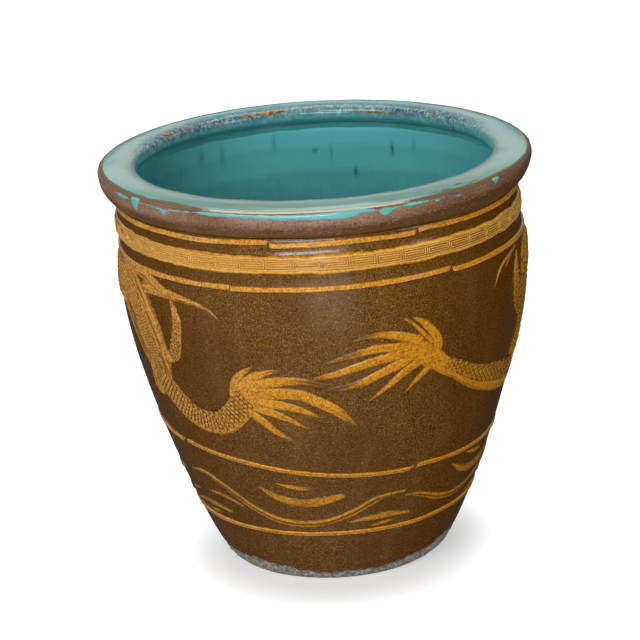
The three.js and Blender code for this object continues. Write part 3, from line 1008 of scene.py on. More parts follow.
@dataclass(frozen=True)
class ThrownBody:
    """Foot slab and wall, with the glaze stopping at a ragged line above the foot."""

    finishes: Finishes
    turns: int = 480
    bare_height: float = 18.5
    bare_swing: float = 5.5
    glaze_step: float = 0.5
    rough_foot: float = 1.0
    chamfer: float = 2.5
    hollow: float = 0.8
    fine_top: float = 36.0
    fine_step: float = 1.2
    coarse_step: float = 4.0
    inner_rows: int = 14

    def bare_line(self, angle: Array) -> Array:
        """Height at which the glaze stops."""
        swing = self.bare_height - self.bare_swing * np.cos(np.radians(2 * angle))
        return swing + 3.2 * round_noise(angle, 17, 11) + 2.4 * round_noise(angle, 61, 12)

    def skin(self, angle: Array, height: Array) -> tuple[Array, Array]:
        """Rise of the outer face and how bare it is.

        Args:
            angle: Degrees.
            height: Height on the wall.

        Returns:
            Rise in mm, and bareness from 0 to 1.
        """
        edge = self.bare_line(angle) + 2.2 * ring_noise(angle, height, 150, 3.0, 13)
        bare = 1.0 - smooth(height, edge - 1.6, edge + 1.6)
        pits = 0.6 * ring_noise(angle, height, 190, 4.0, 14) + 0.4 * ring_noise(angle, height, 420, 2.0, 15)
        return -bare * self.glaze_step + bare * self.rough_foot * pits, bare

    def build(self) -> None:
        """Make the foot slab and the wall."""
        self.foot_slab()
        self.wall()

    def foot_slab(self) -> None:
        """Make the foot slab, whose rough underside is slightly hollow."""
        angle = sections(self.turns)
        levels = np.append(np.arange(self.chamfer, FORM.base, 1.0), FORM.base)[None, :]
        rise, bare = self.skin(angle, levels)
        side = WALL.place(angle, levels, rise)
        under = WALL.place(angle, np.array([[0.5]]), -self.chamfer + 0.5 * rise[:, :1])
        under[..., 2] = 0.0
        floor = [under * (share, share, 0.0) for share in (0.01, 0.4, 0.8, 0.93)]
        for part in floor[1:3]:
            part[..., 2] = self.hollow * MM
        lid = [side[:, -1:] * (share, share, 1.0) for share in (0.8, 0.01)]
        points = np.concatenate([*floor, under, side, *lid], axis=1)
        below, above = np.ones((self.turns, len(floor) + 1)), np.zeros((self.turns, len(lid)))
        looks = {"bare": np.concatenate([below, bare, above], axis=1)}
        piece = make_piece("foot_slab", points, ring_faces(points, closed=False), looks)
        finish_piece(piece, self.finishes.brown, ["base_slab"])

    def wall(self) -> None:
        """Make the wall from the slab to the neck."""
        angle, neck = sections(self.turns), FORM.neck[1]
        levels = np.concatenate([np.arange(FORM.base, self.fine_top, self.fine_step),
                                 np.arange(self.fine_top, neck, self.coarse_step), [neck]])[None, :]
        rise, bare = self.skin(angle, levels)
        inner = np.linspace(neck, FORM.base, self.inner_rows)[None, :]
        points = np.concatenate([WALL.place(angle, levels, rise),
                                 WALL.place(angle, inner, -FORM.wall)], axis=1)
        points[:, levels.size:, 2] = (inner + THROWN.tip(angle, inner)) * MM
        looks = {"bare": np.concatenate([bare, np.zeros((self.turns, inner.size))], axis=1)}
        piece = make_piece("thrown_wall", points, ring_faces(points, closed=True), looks)
        finish_piece(piece, self.finishes.brown, ["lower_wall", "upper_wall"])


# Mouth


# Strips of glaze that ran over the rim: angle, then top and end in mm below the rim's edge
RUNS: tuple[tuple[Point, ...], ...] = (
    ((-62.5, 2, 2.6), (-60.5, 0.8, 6), (-57.5, 1.2, 5.4), (-55.6, 2.2, 3.4)),
    ((-54.4, -1.5, 3), (-53.4, -3, 13), (-52, -2.6, 13.5), (-51, -1, 3)),
    ((-48, 3.6, 4.2), (-42.9, 4.6, 6.6), (-41.7, 4.6, 13), (-40.4, 4.2, 6), (-36, 2.8, 4.8),
     (-31.7, 1.8, 4.2), (-28, 1.2, 5), (-23, 1.2, 5.6), (-18, 1.4, 6.4), (-13, 1.6, 6.8),
     (-8.7, 1.8, 7.8), (-4, 1.6, 7.4), (-0.8, 1.4, 8.6), (3, 1.2, 8.8), (5.3, 0, 9.2),
     (7.7, -2.2, 8.8), (10.2, -2.2, 5.5), (11.4, 0.2, 5.2), (12.7, 1.2, 5.2), (14.2, 3, 3.4)),
    ((15, 4.4, 5.4), (16, 2.4, 10.8), (17.3, 2.4, 10.6), (18.3, 3.2, 6.6), (20.6, 3, 3.6)),
    ((21.4, 2.4, 4.2), (23, 1, 6.2), (25, 1.2, 5.2), (28, 2.2, 4)),
    ((30.2, 3.4, 5), (31, 3, 6.4), (32, 3.8, 4.6)),
    ((36.6, 3.8, 5.6), (37.6, 3.4, 7), (38.8, 4.2, 5.4)),
    ((50.4, -2, 2), (51.4, -3, 7.6), (52.3, -2.2, 5.6), (53, -1, 2)),
    ((92, 1.6, 4), (97, 1.2, 8), (103, 1.4, 6), (104.2, 1.4, 14), (106, 2, 5)),
    ((138, 2, 4), (142, 1.4, 6.4), (150, 1.6, 5)),
    ((160, 2, 4.4), (167.5, 1.4, 6), (168.6, 1.4, 12), (170, 1.6, 6), (178, 2, 4)),
    ((-160, 1.8, 4.4), (-156.5, 1.4, 9), (-150, 1.8, 4)),
    ((-134, 2, 4.6), (-125, 1.4, 6.4), (-123.8, 1.4, 13), (-122.4, 1.8, 5)),
    ((-101, 1.8, 4), (-97, 1.4, 7), (-91, 2, 4)),
)
# Soft marks in the coat: angle, distance from the worn edge, width, length and strength
STAINS = (
    (154, 96, 1.6, 7, 0.85), (167.1, 125, 1.6, 6, 0.75), (174.8, 102, 1.2, 9, 0.45),
    (-131, 100, 0.9, 7, 0.6), (-166.5, 84, 2, 8, 0.35), (-148, 92, 2.5, 12, 0.30),
    (-140, 86, 3, 9, 0.30), (146, 90, 2, 8, 0.25), (124.9, 52, 2, 4.5, 0.75),
    (20, 110, 2, 9, 0.5), (-60, 98, 2, 14, 0.5), (75, 120, 1.6, 10, 0.6),
)
SOOT = (
    (34.4, 5, 5, 1.6, 0.8), (39.3, 9, 3, 1.4, 0.6), (4.8, 23, 9, 0.9, 0.5),
    (49.1, 2, 7, 1.4, 0.7), (31, 6, 3, 1.2, 0.5), (44, 6, 5, 0.8, 0.45),
    (18, 7, 8, 0.8, 0.35), (-47, 4, 4, 1, 0.4), (120, 8, 6, 1.2, 0.5),
    (-120, 6, 5, 1.2, 0.5), (180, 98, 2.4, 2.4, 0.6),
)


@dataclass(frozen=True)
class Mouth:
    """Rolled rim, turquoise coat over the mouth and the inside, and glaze that ran over the edge."""

    finishes: Finishes
    contour: MouthSurface
    turns: int = 540
    clearance: float = 0.2
    coat: float = 1.2
    fine_reach: float = 10.0
    deep_reach: float = 140.0
    back_rows: int = 5
    run_relief: float = 0.7
    run_reach: float = 16.0
    rim_degree: float = 4.15
    lip_radius: float = 205.0

    def build(self) -> None:
        """Make the rim, the coat and the runs."""
        self.rim()
        self.inner_coat()
        self.runs()

    def rim(self) -> None:
        """Make the rim of clay under the coat."""
        mouth, angle = self.contour, sections(self.turns)
        along = np.concatenate([np.arange(0.0, mouth.edge, 1.0),
                                np.linspace(mouth.edge, mouth.under, 30)])[None, :]
        rough = smooth(along, 2.0, 8.0) * (1 - smooth(along, mouth.edge - 1.0, mouth.edge))
        grain = 0.25 * ring_noise(angle, along, 90, 6.0, 21) + 0.15 * ring_noise(angle, along, 260, 2.5, 22)
        ledge = hump(along, mouth.edge - 1.5 + 0.5 * ring_noise(angle, along, 40, 50.0, 23), 0.8)
        points = mouth.surface.place(angle, along, rough * grain - 0.5 * ledge)
        # Painted shade: dark in the neck under the roll and in the ledge below the edge.
        shade = 0.70 * (1.0 - smooth(along, 1.0, 14.0)) + 0.85 * ledge
        patches = 0.35 * ring_noise(angle, along, 24, 18.0, 24) + 0.20 * ring_noise(angle, along, 70, 9.0, 25)
        warm = 1.0 - smooth(along + 12.0 * patches, 17.0, 29.0)
        warm = warm + 0.8 * smooth(turned(angle), 10.0, 40.0) * (1.0 - smooth(turned(angle), 90.0, 160.0))
        looks = {"shade": np.clip(shade, 0.0, 1.0), "warm": np.clip(0.9 * warm + patches, 0.0, 1.0)}
        piece = make_piece("mouth_roll", points, ring_faces(points, closed=True), looks)
        finish_piece(piece, self.finishes.rim, ["mouth_rim"])

    def inner_coat(self) -> None:
        """Make the coat of turquoise glaze, from the worn edge to the middle of the floor."""
        mouth, angle = self.contour, sections(self.turns)
        fine, deep = mouth.edge + self.fine_reach, mouth.edge + self.deep_reach
        along = np.concatenate([
            np.arange(mouth.edge, fine, 0.8), np.arange(fine, mouth.face, 1.3),
            np.linspace(mouth.face, mouth.under, 10), np.arange(mouth.under + 4.0, deep, 5.0),
            np.arange(deep, mouth.inside - 4.0, 8.0),
            np.linspace(mouth.inside, mouth.floor, 7, endpoint=False),
            np.linspace(mouth.floor, mouth.centre, 12)])[None, :]
        from_edge = along - mouth.edge
        thick = self.clearance + (self.coat - self.clearance) * smooth(from_edge, -0.1, 2.2)
        wave = 0.25 * ring_noise(angle, along, 60, 9.0, 31) * smooth(from_edge, 3.0, 9.0)
        face = mouth.surface.place(angle, along, thick + wave)
        spaced = np.arange(along.size) % self.back_rows == 0
        kept = np.flatnonzero(spaced | (along[0] > mouth.floor - 20.0))
        back = mouth.surface.place(angle, along[:, kept[::-1]], self.clearance / 2)
        points = np.concatenate([back, face], axis=1)
        looks = {title: np.concatenate([0.0 * values[:, kept], values], axis=1)
                 for title, values in self.coat_looks(angle, along).items()}
        piece = make_piece("turquoise_coat", points, ring_faces(points, closed=False), looks)
        finish_piece(piece, self.finishes.turquoise, ["inner_glaze"])

    @staticmethod
    def facing(angle: Array, centre: float, low: float, high: float) -> Array:
        """Ease towards one side of the pot, by the cosine of the angle from its centre."""
        return smooth(np.cos(np.radians(angle - centre)), low, high)

    def coat_looks(self, angle: Array, along: Array) -> dict[str, Array]:
        """Where the coat is worn, broken, mottled or stained, and where light and shade are painted on it.

        Args:
            angle: Angle of each section, as a column.
            along: Distance along the contour, as a row.

        Returns:
            Values from 0 to 1 by attribute name.
        """
        mouth = self.contour
        from_edge = along - mouth.edge
        ragged = ring_noise(angle, along, 120, 4.0, 33)
        sides = 2.8 * smooth(-turned(angle), 26.0, 42.0) + 1.4 * smooth(turned(angle), 20.0, 35.0)
        worn = 2.4 + sides + 0.5 * round_noise(angle, 48, 34) + 0.35 * ragged
        wear = 1.0 - smooth(from_edge, worn - 0.4, worn + 0.3)
        scored = 0.75 * hump(from_edge, worn + 0.3, 0.5) * smooth(round_noise(angle, 90, 38), -0.7, 0.3)
        scuff = smooth(np.abs(turned(angle) + 3.0), 20.0, 32.0) + 0.0 * along
        lip = hump(along, mouth.lip - 2.0, 7.0)
        thin = smooth(round_noise(angle, 11, 35) + 0.5 * round_noise(angle, 29, 36), -0.1, 0.7)
        behind = self.facing(angle, 180.0, 0.55, 0.95)
        turn = np.mod(angle, 360.0)
        front = self.facing(angle, 0.0, 0.3, 0.9)
        gaps = hump(turn, 195.0, 10.0) + 0.9 * hump(turn, 157.0, 14.0) + 0.45 * hump(turn, 240.0, 12.0)
        ridge = mouth.lip - 5.0 + 4.0 * (1.0 - smooth(turn, 165.0, 185.0)) + 1.6 * ragged
        broken = hump(along, ridge, 3.0) * np.clip(0.2 * thin + gaps * (0.8 + 0.5 * thin), 0, 1)
        spread = 0.12 + 1.3 * hump(turn, 234.0, 26.0) + 0.8 * hump(turn, 128.0, 24.0) + 0.6 * behind
        mottle = hump(along, mouth.lip - 5.0, 9.0) * np.clip(spread, 0, 1)
        crown = smooth(from_edge, 0.5, 4.0) * (1.0 - smooth(along, mouth.lip - 9.0, mouth.lip + 3.0))
        pale = 0.80 + 0.20 * hump(along, mouth.lip - 8.0, 7.0)
        chalk = crown * (0.85 + 0.25 * ring_noise(angle, along, 30, 12.0, 37)) * (1.0 - 0.45 * behind)
        chalk = chalk * (1.0 - front + front * pale) + 0.15 * lip + 0.26 * crown * front
        chalk = chalk * (1.0 - 0.8 * hump(turned(angle), -44.0, 22.0) * hump(from_edge, 6.0, 5.0))
        # Painted shade: the crown is duller and greener at the front.
        dull = crown * front * (0.52 + 0.30 * ring_noise(angle, along, 44, 7.0, 39))
        inside = smooth(along, mouth.face, mouth.under) + 0.0 * angle
        # Painted shade: darker deep in the pot, on the left and right inner walls, on the crown at front and
        # back, and in a line under the lip.
        shaded = 0.75 * hump(turn, 266.0, 42.0) + 0.28 * hump(turn, 96.0, 42.0)
        depth = 0.90 * smooth(along, mouth.under + 10.0, mouth.under + 200.0) + inside * shaded
        depth = depth + crown * (0.26 * front + 0.20 * behind) + 0.5 * hump(along, mouth.face + 3.0, 3.5)
        # Painted light: brighter turquoise on the upper back of the inside wall, just below the lip.
        near = 1.0 - smooth(along, mouth.under, mouth.under + 130.0)
        fresh = inside * near * self.facing(angle, 178.0, 0.1, 0.9)
        soot = np.maximum(self.spots(SOOT, angle, from_edge, ragged), scored)
        stain = self.spots(STAINS, angle, from_edge, ragged)
        return {"wear": wear, "scuff": scuff, "break": broken, "mottle": mottle, "chalk": chalk, "dull": dull,
                "inside": inside, "depth": np.clip(depth, 0, 1), "fresh": fresh, "soot": soot, "stain": stain}

    def spots(self, marks: Iterable[tuple[float, ...]], angle: Array, from_edge: Array,
              ragged: Array) -> Array:
        """Soft marks, with the strongest kept where they overlap.

        Args:
            marks: The marks.
            angle: Degrees, as a column.
            from_edge: Distance from the worn edge, as a row.
            ragged: Noise that breaks up their outlines.

        Returns:
            Values from 0 to 1.
        """
        shown = np.zeros(ragged.shape)
        for place, along, width, length, strength in marks:
            aside = np.radians(turned(angle - place)) * self.lip_radius
            inside = hump(aside, 0.0, width) * hump(from_edge, along, length)
            spot = np.clip(1.6 * inside * (1.0 + 0.6 * ragged), 0.0, 1.0)
            shown = np.maximum(shown, strength * spot)
        return shown

    def runs(self) -> None:
        """Make the runs of turquoise glaze below the worn edge."""
        mouth = self.contour

        def shape(angle: Array, along: Array) -> Sample:
            """Height field of all runs."""
            below = mouth.edge - along
            inside = np.full(angle.shape, -9.0)
            for strip in RUNS:
                places, tops, ends = zip(*strip)
                top, end = np.interp(angle, places, tops), np.interp(angle, places, ends)
                aside = np.minimum(angle - places[0], places[-1] - angle) * self.rim_degree
                inside = np.maximum(inside, np.minimum.reduce([below - top, end - below, aside + 0.6]))
            ragged = (0.7 * ring_noise(angle, along, 210, 5.0, 41)
                      + 0.6 * ring_noise(angle, along, 460, 2.2, 42))
            inside = inside + ragged * np.clip(0.6 + 0.4 * inside, 0.0, 1.0)
            rise = np.where(inside > 0, self.run_relief * (1 - np.exp(-np.maximum(inside, 0))), inside)
            return Sample(rise, 0 * rise, hump(inside, -0.1, 0.45))

        window = Window(-180.0, 180.0, mouth.edge - self.run_reach, mouth.edge + 4.0)
        piece = laid_on("glaze_runs", mouth.surface, window, 0.8, shape)
        add_values(piece, "soot", 0.75 * vertex_values(piece, "groove"))
        add_values(piece, "chalk", np.full(len(piece.data.vertices), 0.25))
        finish_piece(piece, self.finishes.turquoise, [])


# Bands


@dataclass(frozen=True)
class Band:
    """Raised band of slip round the wall.

    Attributes:
        node: CAD node that it replaces.
        relief: Height above the wall.
        wander: How far it strays in height.
        breaks: Angle, gap and shift in height of each place where its ends meet.
        seed: Picks its noise.
        key: Half height of the dark field for a fret, in half widths, or 0.
        tilt: Drop towards the right side.
        sag: Fall at the front and back.
        dip: Further fall at the front alone.
        scored: Depth of the line drawn along the band's middle, from 0 to 1.
        seat: How deep it is bedded in the wall.
        sunk: Depth of the gap where its ends meet.
    """

    node: str
    relief: float
    wander: float
    breaks: tuple[Point, ...]
    seed: int
    key: float = 0.0
    tilt: float = 0.0
    sag: float = 0.0
    dip: float = 0.0
    scored: float = 0.0
    seat: float = 1.4
    sunk: float = 0.6
    turns: int = 900
    rows: int = 25

    @property
    def width(self) -> float:
        """Width of the band, without the height that its tilt adds."""
        low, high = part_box(self.node)
        return (high[2] - low[2]) / MM - 2 * self.tilt

    def line(self, angle: Array) -> Array:
        """Height of the band's middle at an angle."""
        turn = np.radians(angle)
        height = node_middle(self.node) - self.tilt * np.sin(turn) - self.sag * np.cos(2 * turn)
        height = height + self.wander * round_noise(angle, 23, self.seed)
        height = height - self.dip * hump(turned(angle), 4.0, 26.0)
        for place, gap, shift in self.breaks:
            aside = turned(angle - place)
            height = height + shift * np.tanh(aside / gap) * hump(aside, 0.0, 14.0)
        return height

    def key_depth(self, angle: Array) -> Array:
        """How dark the field between the fret's lines is; the glaze fills it unevenly."""
        patches = 0.5 + 0.5 * round_noise(angle, 9, self.seed + 5)
        return (0.20 + 0.22 * patches + 0.30 * hump(turned(angle), 44.0, 20.0)) * (self.key > 0)

    def build(self, finishes: Finishes) -> None:
        """Make the band.

        Args:
            finishes: Materials of the pot.
        """
        angle = sections(self.turns)
        across = np.linspace(-1.0, 1.0, self.rows)[None, :]
        half = self.width / 2 * (1.0 + 0.10 * round_noise(angle, 90, self.seed + 1)
                                 + 0.06 * ring_noise(angle, np.sign(across) * 4, 170, 1.0, self.seed + 2))
        height = self.line(angle) + across * half
        present = np.ones_like(angle * across)
        for place, gap, _ in self.breaks:
            aside = turned(angle - place)
            left_end = smooth(-aside - gap * (0.2 + 1.3 * (1.0 - across) / 2), 0.0, 0.5 * gap)
            right_end = smooth(aside, 0.1 * gap, 0.5 * gap)
            present = np.minimum(present, np.maximum(left_end, right_end))
        edge = 1.0 - np.abs(across) ** 8
        ridges = 0.20 * hump(np.abs(across), 0.80, 0.12)
        brushed = 0.10 * ring_noise(angle, across * 9.0, 60, 1.0, self.seed + 3)
        rise = (self.relief * edge * (0.85 + ridges + brushed) + self.sunk) * present - self.sunk
        top = WALL.place(angle, height, rise)
        under = WALL.place(angle, height[:, [-1, 0]], -self.seat)
        slip = 0.62 + 0.45 * edge + 0.30 * ring_noise(angle, across * 7.0, 45, 1.0, self.seed + 4)
        # The fret band's thicker slip is painted lighter gold by the slip finish, partly as painted sheen.
        slip = np.clip(slip, 0, 1) * (0.35 + 0.65 * present) * (1.4 if self.key else 1.1)
        groove = self.key_depth(angle) * smooth(self.key - np.abs(across), 0.0, 0.06)
        combed = hump(across, 0.70, 0.035) + hump(across, 0.84, 0.035)
        groove = groove + 0.5 * (self.key > 0) * combed * smooth(-turned(angle), -4.0, 12.0)
        groove = groove + self.scored * hump(across, -0.12, 0.20) * (0.7 + 0.5 * brushed / 0.10)
        spare = np.zeros((self.turns, 2))
        points = np.concatenate([top, under], axis=1)
        looks = {"slip": np.concatenate([slip, spare], axis=1),
                 "groove": np.concatenate([np.clip(groove, 0.0, 1.0), spare], axis=1)}
        piece = make_piece(f"{self.node}_slip", points, ring_faces(points, closed=True), looks)
        finish_piece(piece, finishes.slip, [self.node])


@dataclass(frozen=True)
class FretKeys:
    """Key fret in raised lines on its band, repeated round the pot by Geometry Nodes."""

    band: Band
    keys: int = 50
    line: float = 1.65
    pitch: float = 2.45
    relief: float = 0.9
    stretch: float = 1.4
    lift: float = 0.1
    sink: float = 0.9
    # Thick slip, which the slip finish paints lighter gold, partly as painted sheen.
    slip: float = 1.5
    lines: int = 2

    def tree(self) -> ShapeTree:
        """Tree that sweeps one key and repeats it along a straight line."""
        tree = ShapeTree("fret_keys", {"Count": "Int", "Spacing": "Float", "Line Width": "Float",
                                       "Relief": "Float"})
        given = tree.start.outputs
        path = tree.add("GeometryNodeMeshToCurve", {"Mesh": given["Geometry"]}).outputs[0]
        section = tree.add("GeometryNodeCurvePrimitiveQuadrilateral",
                           {"Width": given["Relief"], "Height": given["Line Width"]}).outputs[0]
        key = tree.add("GeometryNodeCurveToMesh",
                       {"Curve": path, "Profile Curve": section, "Fill Caps": True})
        step = tree.add("ShaderNodeCombineXYZ", {"X": given["Spacing"]})
        places = tree.add("GeometryNodeMeshLine", {"Count": given["Count"], "Offset": step.outputs[0]})
        repeated = tree.add("GeometryNodeInstanceOnPoints",
                            {"Points": places.outputs[0], "Instance": key.outputs[0]})
        tree.end(repeated.outputs[0])
        return tree

    def path(self, spacing: float) -> Array:
        """Corners of one key: a squared spiral and the stroke that leads to the next one."""
        right, top = spacing - self.pitch, self.pitch * self.lines
        left, bottom = 0.0, -top
        corners = [(spacing, bottom), (left, bottom), (left, top)]
        while right - left > 2.2 * self.pitch and top - bottom > 1.2 * self.pitch:
            corners += [(right, top), (right, bottom + self.pitch)]
            left, bottom = left + self.pitch, bottom + self.pitch
            corners += [(left, bottom)]
            right, top = right - self.pitch, top - self.pitch
            if top - bottom < self.pitch * 0.8:
                break
            corners += [(left, top)]
        return np.array(corners)

    def build(self, finishes: Finishes) -> None:
        """Make the keys and bend them round the wall.

        Args:
            finishes: Materials of the pot.
        """
        arc = float(WALL.per_degree(np.array(node_middle(self.band.node)))) * 360.0
        spacing = arc / self.keys
        corners = self.path(spacing)
        points = np.column_stack([corners, np.zeros(len(corners))]) * MM
        mesh = bpy.data.meshes.new("fret_keys")
        mesh.from_pydata(points.tolist(), [(start, start + 1) for start in range(len(corners) - 1)], [])
        piece = linked("fret_keys", mesh)
        self.tree().run(piece, {"Count": self.keys, "Spacing": spacing * MM, "Line Width": self.line * MM,
                                "Relief": self.relief * MM, "Material": finishes.slip})
        flat = mesh_points(piece) / MM
        angle = flat[:, 0] / arc * 360.0
        sunk = self.sink * smooth(ring_noise(angle, flat[:, 1], 19, 40.0, 71), -0.2, 0.7)
        rise = self.band.relief + self.lift + flat[:, 2] * self.stretch - sunk
        height = self.band.line(angle) + flat[:, 1]
        set_mesh_points(piece, WALL.place(angle, height, rise))
        add_values(piece, "slip", self.slip + 0.0 * angle)
        add_values(piece, "groove", np.clip(-0.5 * flat[:, 2], 0.0, 1.0))
        finish_piece(piece, finishes.slip, [])


# Strips of slip


class Stroke(Enum):
    """How a strip of slip was laid."""

    SLAB = "slab"
    CLAW = "claw"
    WISP = "wisp"
    LINE = "line"
    HAIR = "hair"
    CUT = "cut"

    def along(self, *points: Point) -> "Strip":
        """Strip laid in this way through points."""
        return Strip(points, self)


slab, claw, wisp = Stroke.SLAB.along, Stroke.CLAW.along, Stroke.WISP.along
stripe, hair, cut = Stroke.LINE.along, Stroke.HAIR.along, Stroke.CUT.along

# How much of the slip is lost towards the tip of a claw and of a wisp, and all along other strokes
FADES = {Stroke.CLAW: 0.45, Stroke.WISP: 0.88}
FADE = 0.14

# Width of a strip's free margin, and the shortest degree of arc where slip lies
MARGIN, SHORT_DEGREE = 4.0, 3.0


@dataclass(frozen=True)
class Strip:
    """Strip of slip along a curve, given by angle, height and half width."""

    points: tuple[Point, ...]
    stroke: Stroke
    steps: int = 8

    def moved(self, side: int, turn: float) -> "Strip":
        """The strip on the side 1 or -1 of the pot, turned about the axis."""
        return replace(self, points=tuple((angle * side + turn, *rest) for angle, *rest in self.points))

    def window(self) -> Window:
        """Part of the wall that it covers."""
        angle, height, half = through(self.points, self.steps).T
        wide = half + MARGIN
        turn = wide / SHORT_DEGREE
        return Window((angle - turn).min(), (angle + turn).max(),
                      (height - wide).min(), (height + wide).max())


@dataclass
class Measure:
    """Where places of the wall lie on a strip.

    Attributes:
        along: Distance along its curve.
        aside: Signed distance from the curve, positive to its left.
        half: Half width there.
        share: Part of the curve's length that lies behind.
    """

    along: Array
    aside: Array
    half: Array
    share: Array


def measure(strip: Strip, angle: Array, height: Array) -> Measure:
    """Distances from a strip's curve.

    Args:
        strip: The strip.
        angle: Degrees.
        height: Millimetres.

    Returns:
        The nearest place on the curve for each point.
    """
    path = through(strip.points, strip.steps)
    per_degree = WALL.per_degree(height)
    nearest = np.full(angle.shape, 1e9)
    along, aside, half = np.zeros(angle.shape), np.zeros(angle.shape), np.ones(angle.shape)
    travelled = 0.0
    for start, end in zip(path, path[1:]):
        run_x, run_z = (end[0] - start[0]) * per_degree, end[1] - start[1]
        off_x, off_z = (angle - start[0]) * per_degree, height - start[1]
        part = np.clip((off_x * run_x + off_z * run_z) / (run_x**2 + run_z**2), 0.0, 1.0)
        gap = np.hypot(off_x - part * run_x, off_z - part * run_z)
        closer = gap < nearest
        arc = (end[0] - start[0]) * float(WALL.per_degree(np.array(start[1])))
        length = math.hypot(arc, end[1] - start[1])
        nearest = np.where(closer, gap, nearest)
        along = np.where(closer, travelled + part * length, along)
        aside = np.where(closer, np.copysign(gap, run_x * off_z - run_z * off_x), aside)
        half = np.where(closer, start[2] + part * (end[2] - start[2]), half)
        travelled += length
    return Measure(along, aside, half, along / travelled)


@dataclass(frozen=True)
class Relief:
    """Piece made of strips of slip.

    Attributes:
        node: CAD node that it replaces.
        strips: Strips that it is made of.
        height: Thickness of the slip.
        seed: Picks its noise.
        teeth: Depth of the serration along the front edge of a slab.
        combed: Share of a slab's length that has lines combed along it.
        thin: How much of the brown shows through the slip, from 0 to 1.
        side: 1 for the right half of the pot and -1 for the left half.
        cell: Size of a face.
        tooth: Length of one tooth of the serration.
    """

    node: str
    strips: tuple[Strip, ...]
    height: float
    seed: int
    teeth: float = 0.0
    combed: float = 0.0
    thin: float = 0.0
    side: int = 1
    cell: float = 0.85
    tooth: float = 5.5

    def window(self) -> Window:
        """Part of the wall that the piece covers."""
        windows = [strip.window() for strip in self.strips]
        return Window(min(each.left for each in windows), max(each.right for each in windows),
                      min(each.low for each in windows), max(each.high for each in windows))

    def sample(self, angle: Array, height: Array) -> Sample:
        """Height field of all strips together.

        Args:
            angle: Degrees.
            height: Millimetres.

        Returns:
            The highest strip at each place.
        """
        result = Sample(np.full(angle.shape, -9.0), np.zeros(angle.shape), np.zeros(angle.shape))
        ragged = (0.45 * ring_noise(angle, height, 430, 3.2, self.seed)
                  + 0.3 * ring_noise(angle, height, 900, 1.5, 81))
        for number, strip in enumerate(self.strips):
            near = strip.window().holds(angle, height)
            at = measure(strip, angle[near], height[near])
            if strip.stroke is Stroke.CUT:
                line = hump(at.aside, 0.0, np.maximum(0.6, 0.6 * at.half))
                line = line * smooth(at.half - np.abs(at.aside), -1.0, 0.2)
                result.groove[near] = np.maximum(result.groove[near], 0.85 * line)
                result.rise[near] -= 0.6 * line * (result.rise[near] > 0.8)
                continue
            found = self.stroke(strip, at, ragged[near], number)
            higher = found.rise > result.rise[near]
            if strip.stroke in FADES:
                outline = 0.60 * hump(at.half - np.abs(at.aside), 0.3, 0.55) * (at.share > 0.0)
                result.groove[near] = np.where(higher, 0.0, np.maximum(result.groove[near], outline))
            for title in ("rise", "slip", "groove"):
                values = getattr(result, title)
                values[near] = np.where(higher, getattr(found, title), values[near])
        return result

    def stroke(self, strip: Strip, at: Measure, ragged: Array, number: int) -> Sample:
        """Height field of one strip.

        Args:
            strip: The strip.
            at: Distances from its curve.
            ragged: Noise for its edge, in mm.
            number: Number of the strip in the piece.

        Returns:
            Rise, slip and groove.
        """
        side = at.aside * self.side
        inside = at.half - np.abs(at.aside) + ragged * np.minimum(1.0, at.half / 4.0)
        if self.teeth and strip.stroke is Stroke.SLAB:
            tooth = np.abs(np.mod(at.along / self.tooth, 1.0) - 0.5) * 2.0
            inside = inside + self.teeth * (tooth - 0.5) * (side > 0)
        drawn = lattice_noise(at.aside / 1.5 + 40 * number, at.along / 26.0, self.seed + 1)
        cap = np.minimum(self.height, 0.6 * at.half)
        body = np.maximum(inside, 0.0)
        if strip.stroke is Stroke.SLAB:
            lower = 1.0 - 0.4 * smooth(at.share, 0.70, 0.95) * (strip.points[0][2] > strip.points[-1][2])
            rise = cap * lower * (1.0 - np.exp(-body / 1.5)) * (1.0 + 0.04 * drawn)
            slip = 0.80 + 0.12 * drawn
            groove = 0.75 * hump(body, 2.4, 0.55) * (1.0 - smooth(at.share, 0.66, 0.76))
            if self.combed:
                strands = lattice_noise(at.aside / 2.1, at.along / 34.0, self.seed + 7)
                lines = smooth(strands, 0.05, 0.40) * (1.0 - smooth(at.share, 0.8 * self.combed, self.combed))
                groove = np.maximum(groove, 0.65 * lines)
                rise = rise - 0.35 * lines * (body > 1.0)
        else:
            soft = 1.0 - np.exp(-body / (0.25 * at.half + 0.6))
            fade = FADE
            if strip.stroke in FADES:
                cap = np.minimum(0.55 * self.height, 0.22 * at.half)
                fade = FADES[strip.stroke] * smooth(at.share, 0.35, 1.05)
            rise = cap * soft * (1.0 + 0.14 * drawn)
            slip = 0.95 - self.thin - fade + 0.30 * drawn
            groove = 0.0 * rise
            if strip.stroke is Stroke.LINE:
                groove = 0.90 * hump(at.aside, 0.0, 0.30 * at.half) * smooth(at.half, 1.6, 2.8)
            if strip.stroke is Stroke.HAIR:
                groove = 0.55 * smooth(drawn, 0.2, 0.6)
        slip = slip * (0.55 * smooth(inside, -0.3, 0.8) + 0.45 * smooth(inside, 0.0, 2.2))
        rise = np.where(inside > 0, rise, 1.1 * inside)
        return Sample(rise, np.clip(slip, 0, 1), np.clip(groove, 0, 1))

    def build(self, finishes: Finishes) -> None:
        """Make the piece on the wall."""
        piece = laid_on(f"{self.node}_slip", WALL, self.window(), self.cell, self.sample)
        finish_piece(piece, finishes.slip, [self.node])


# Waves


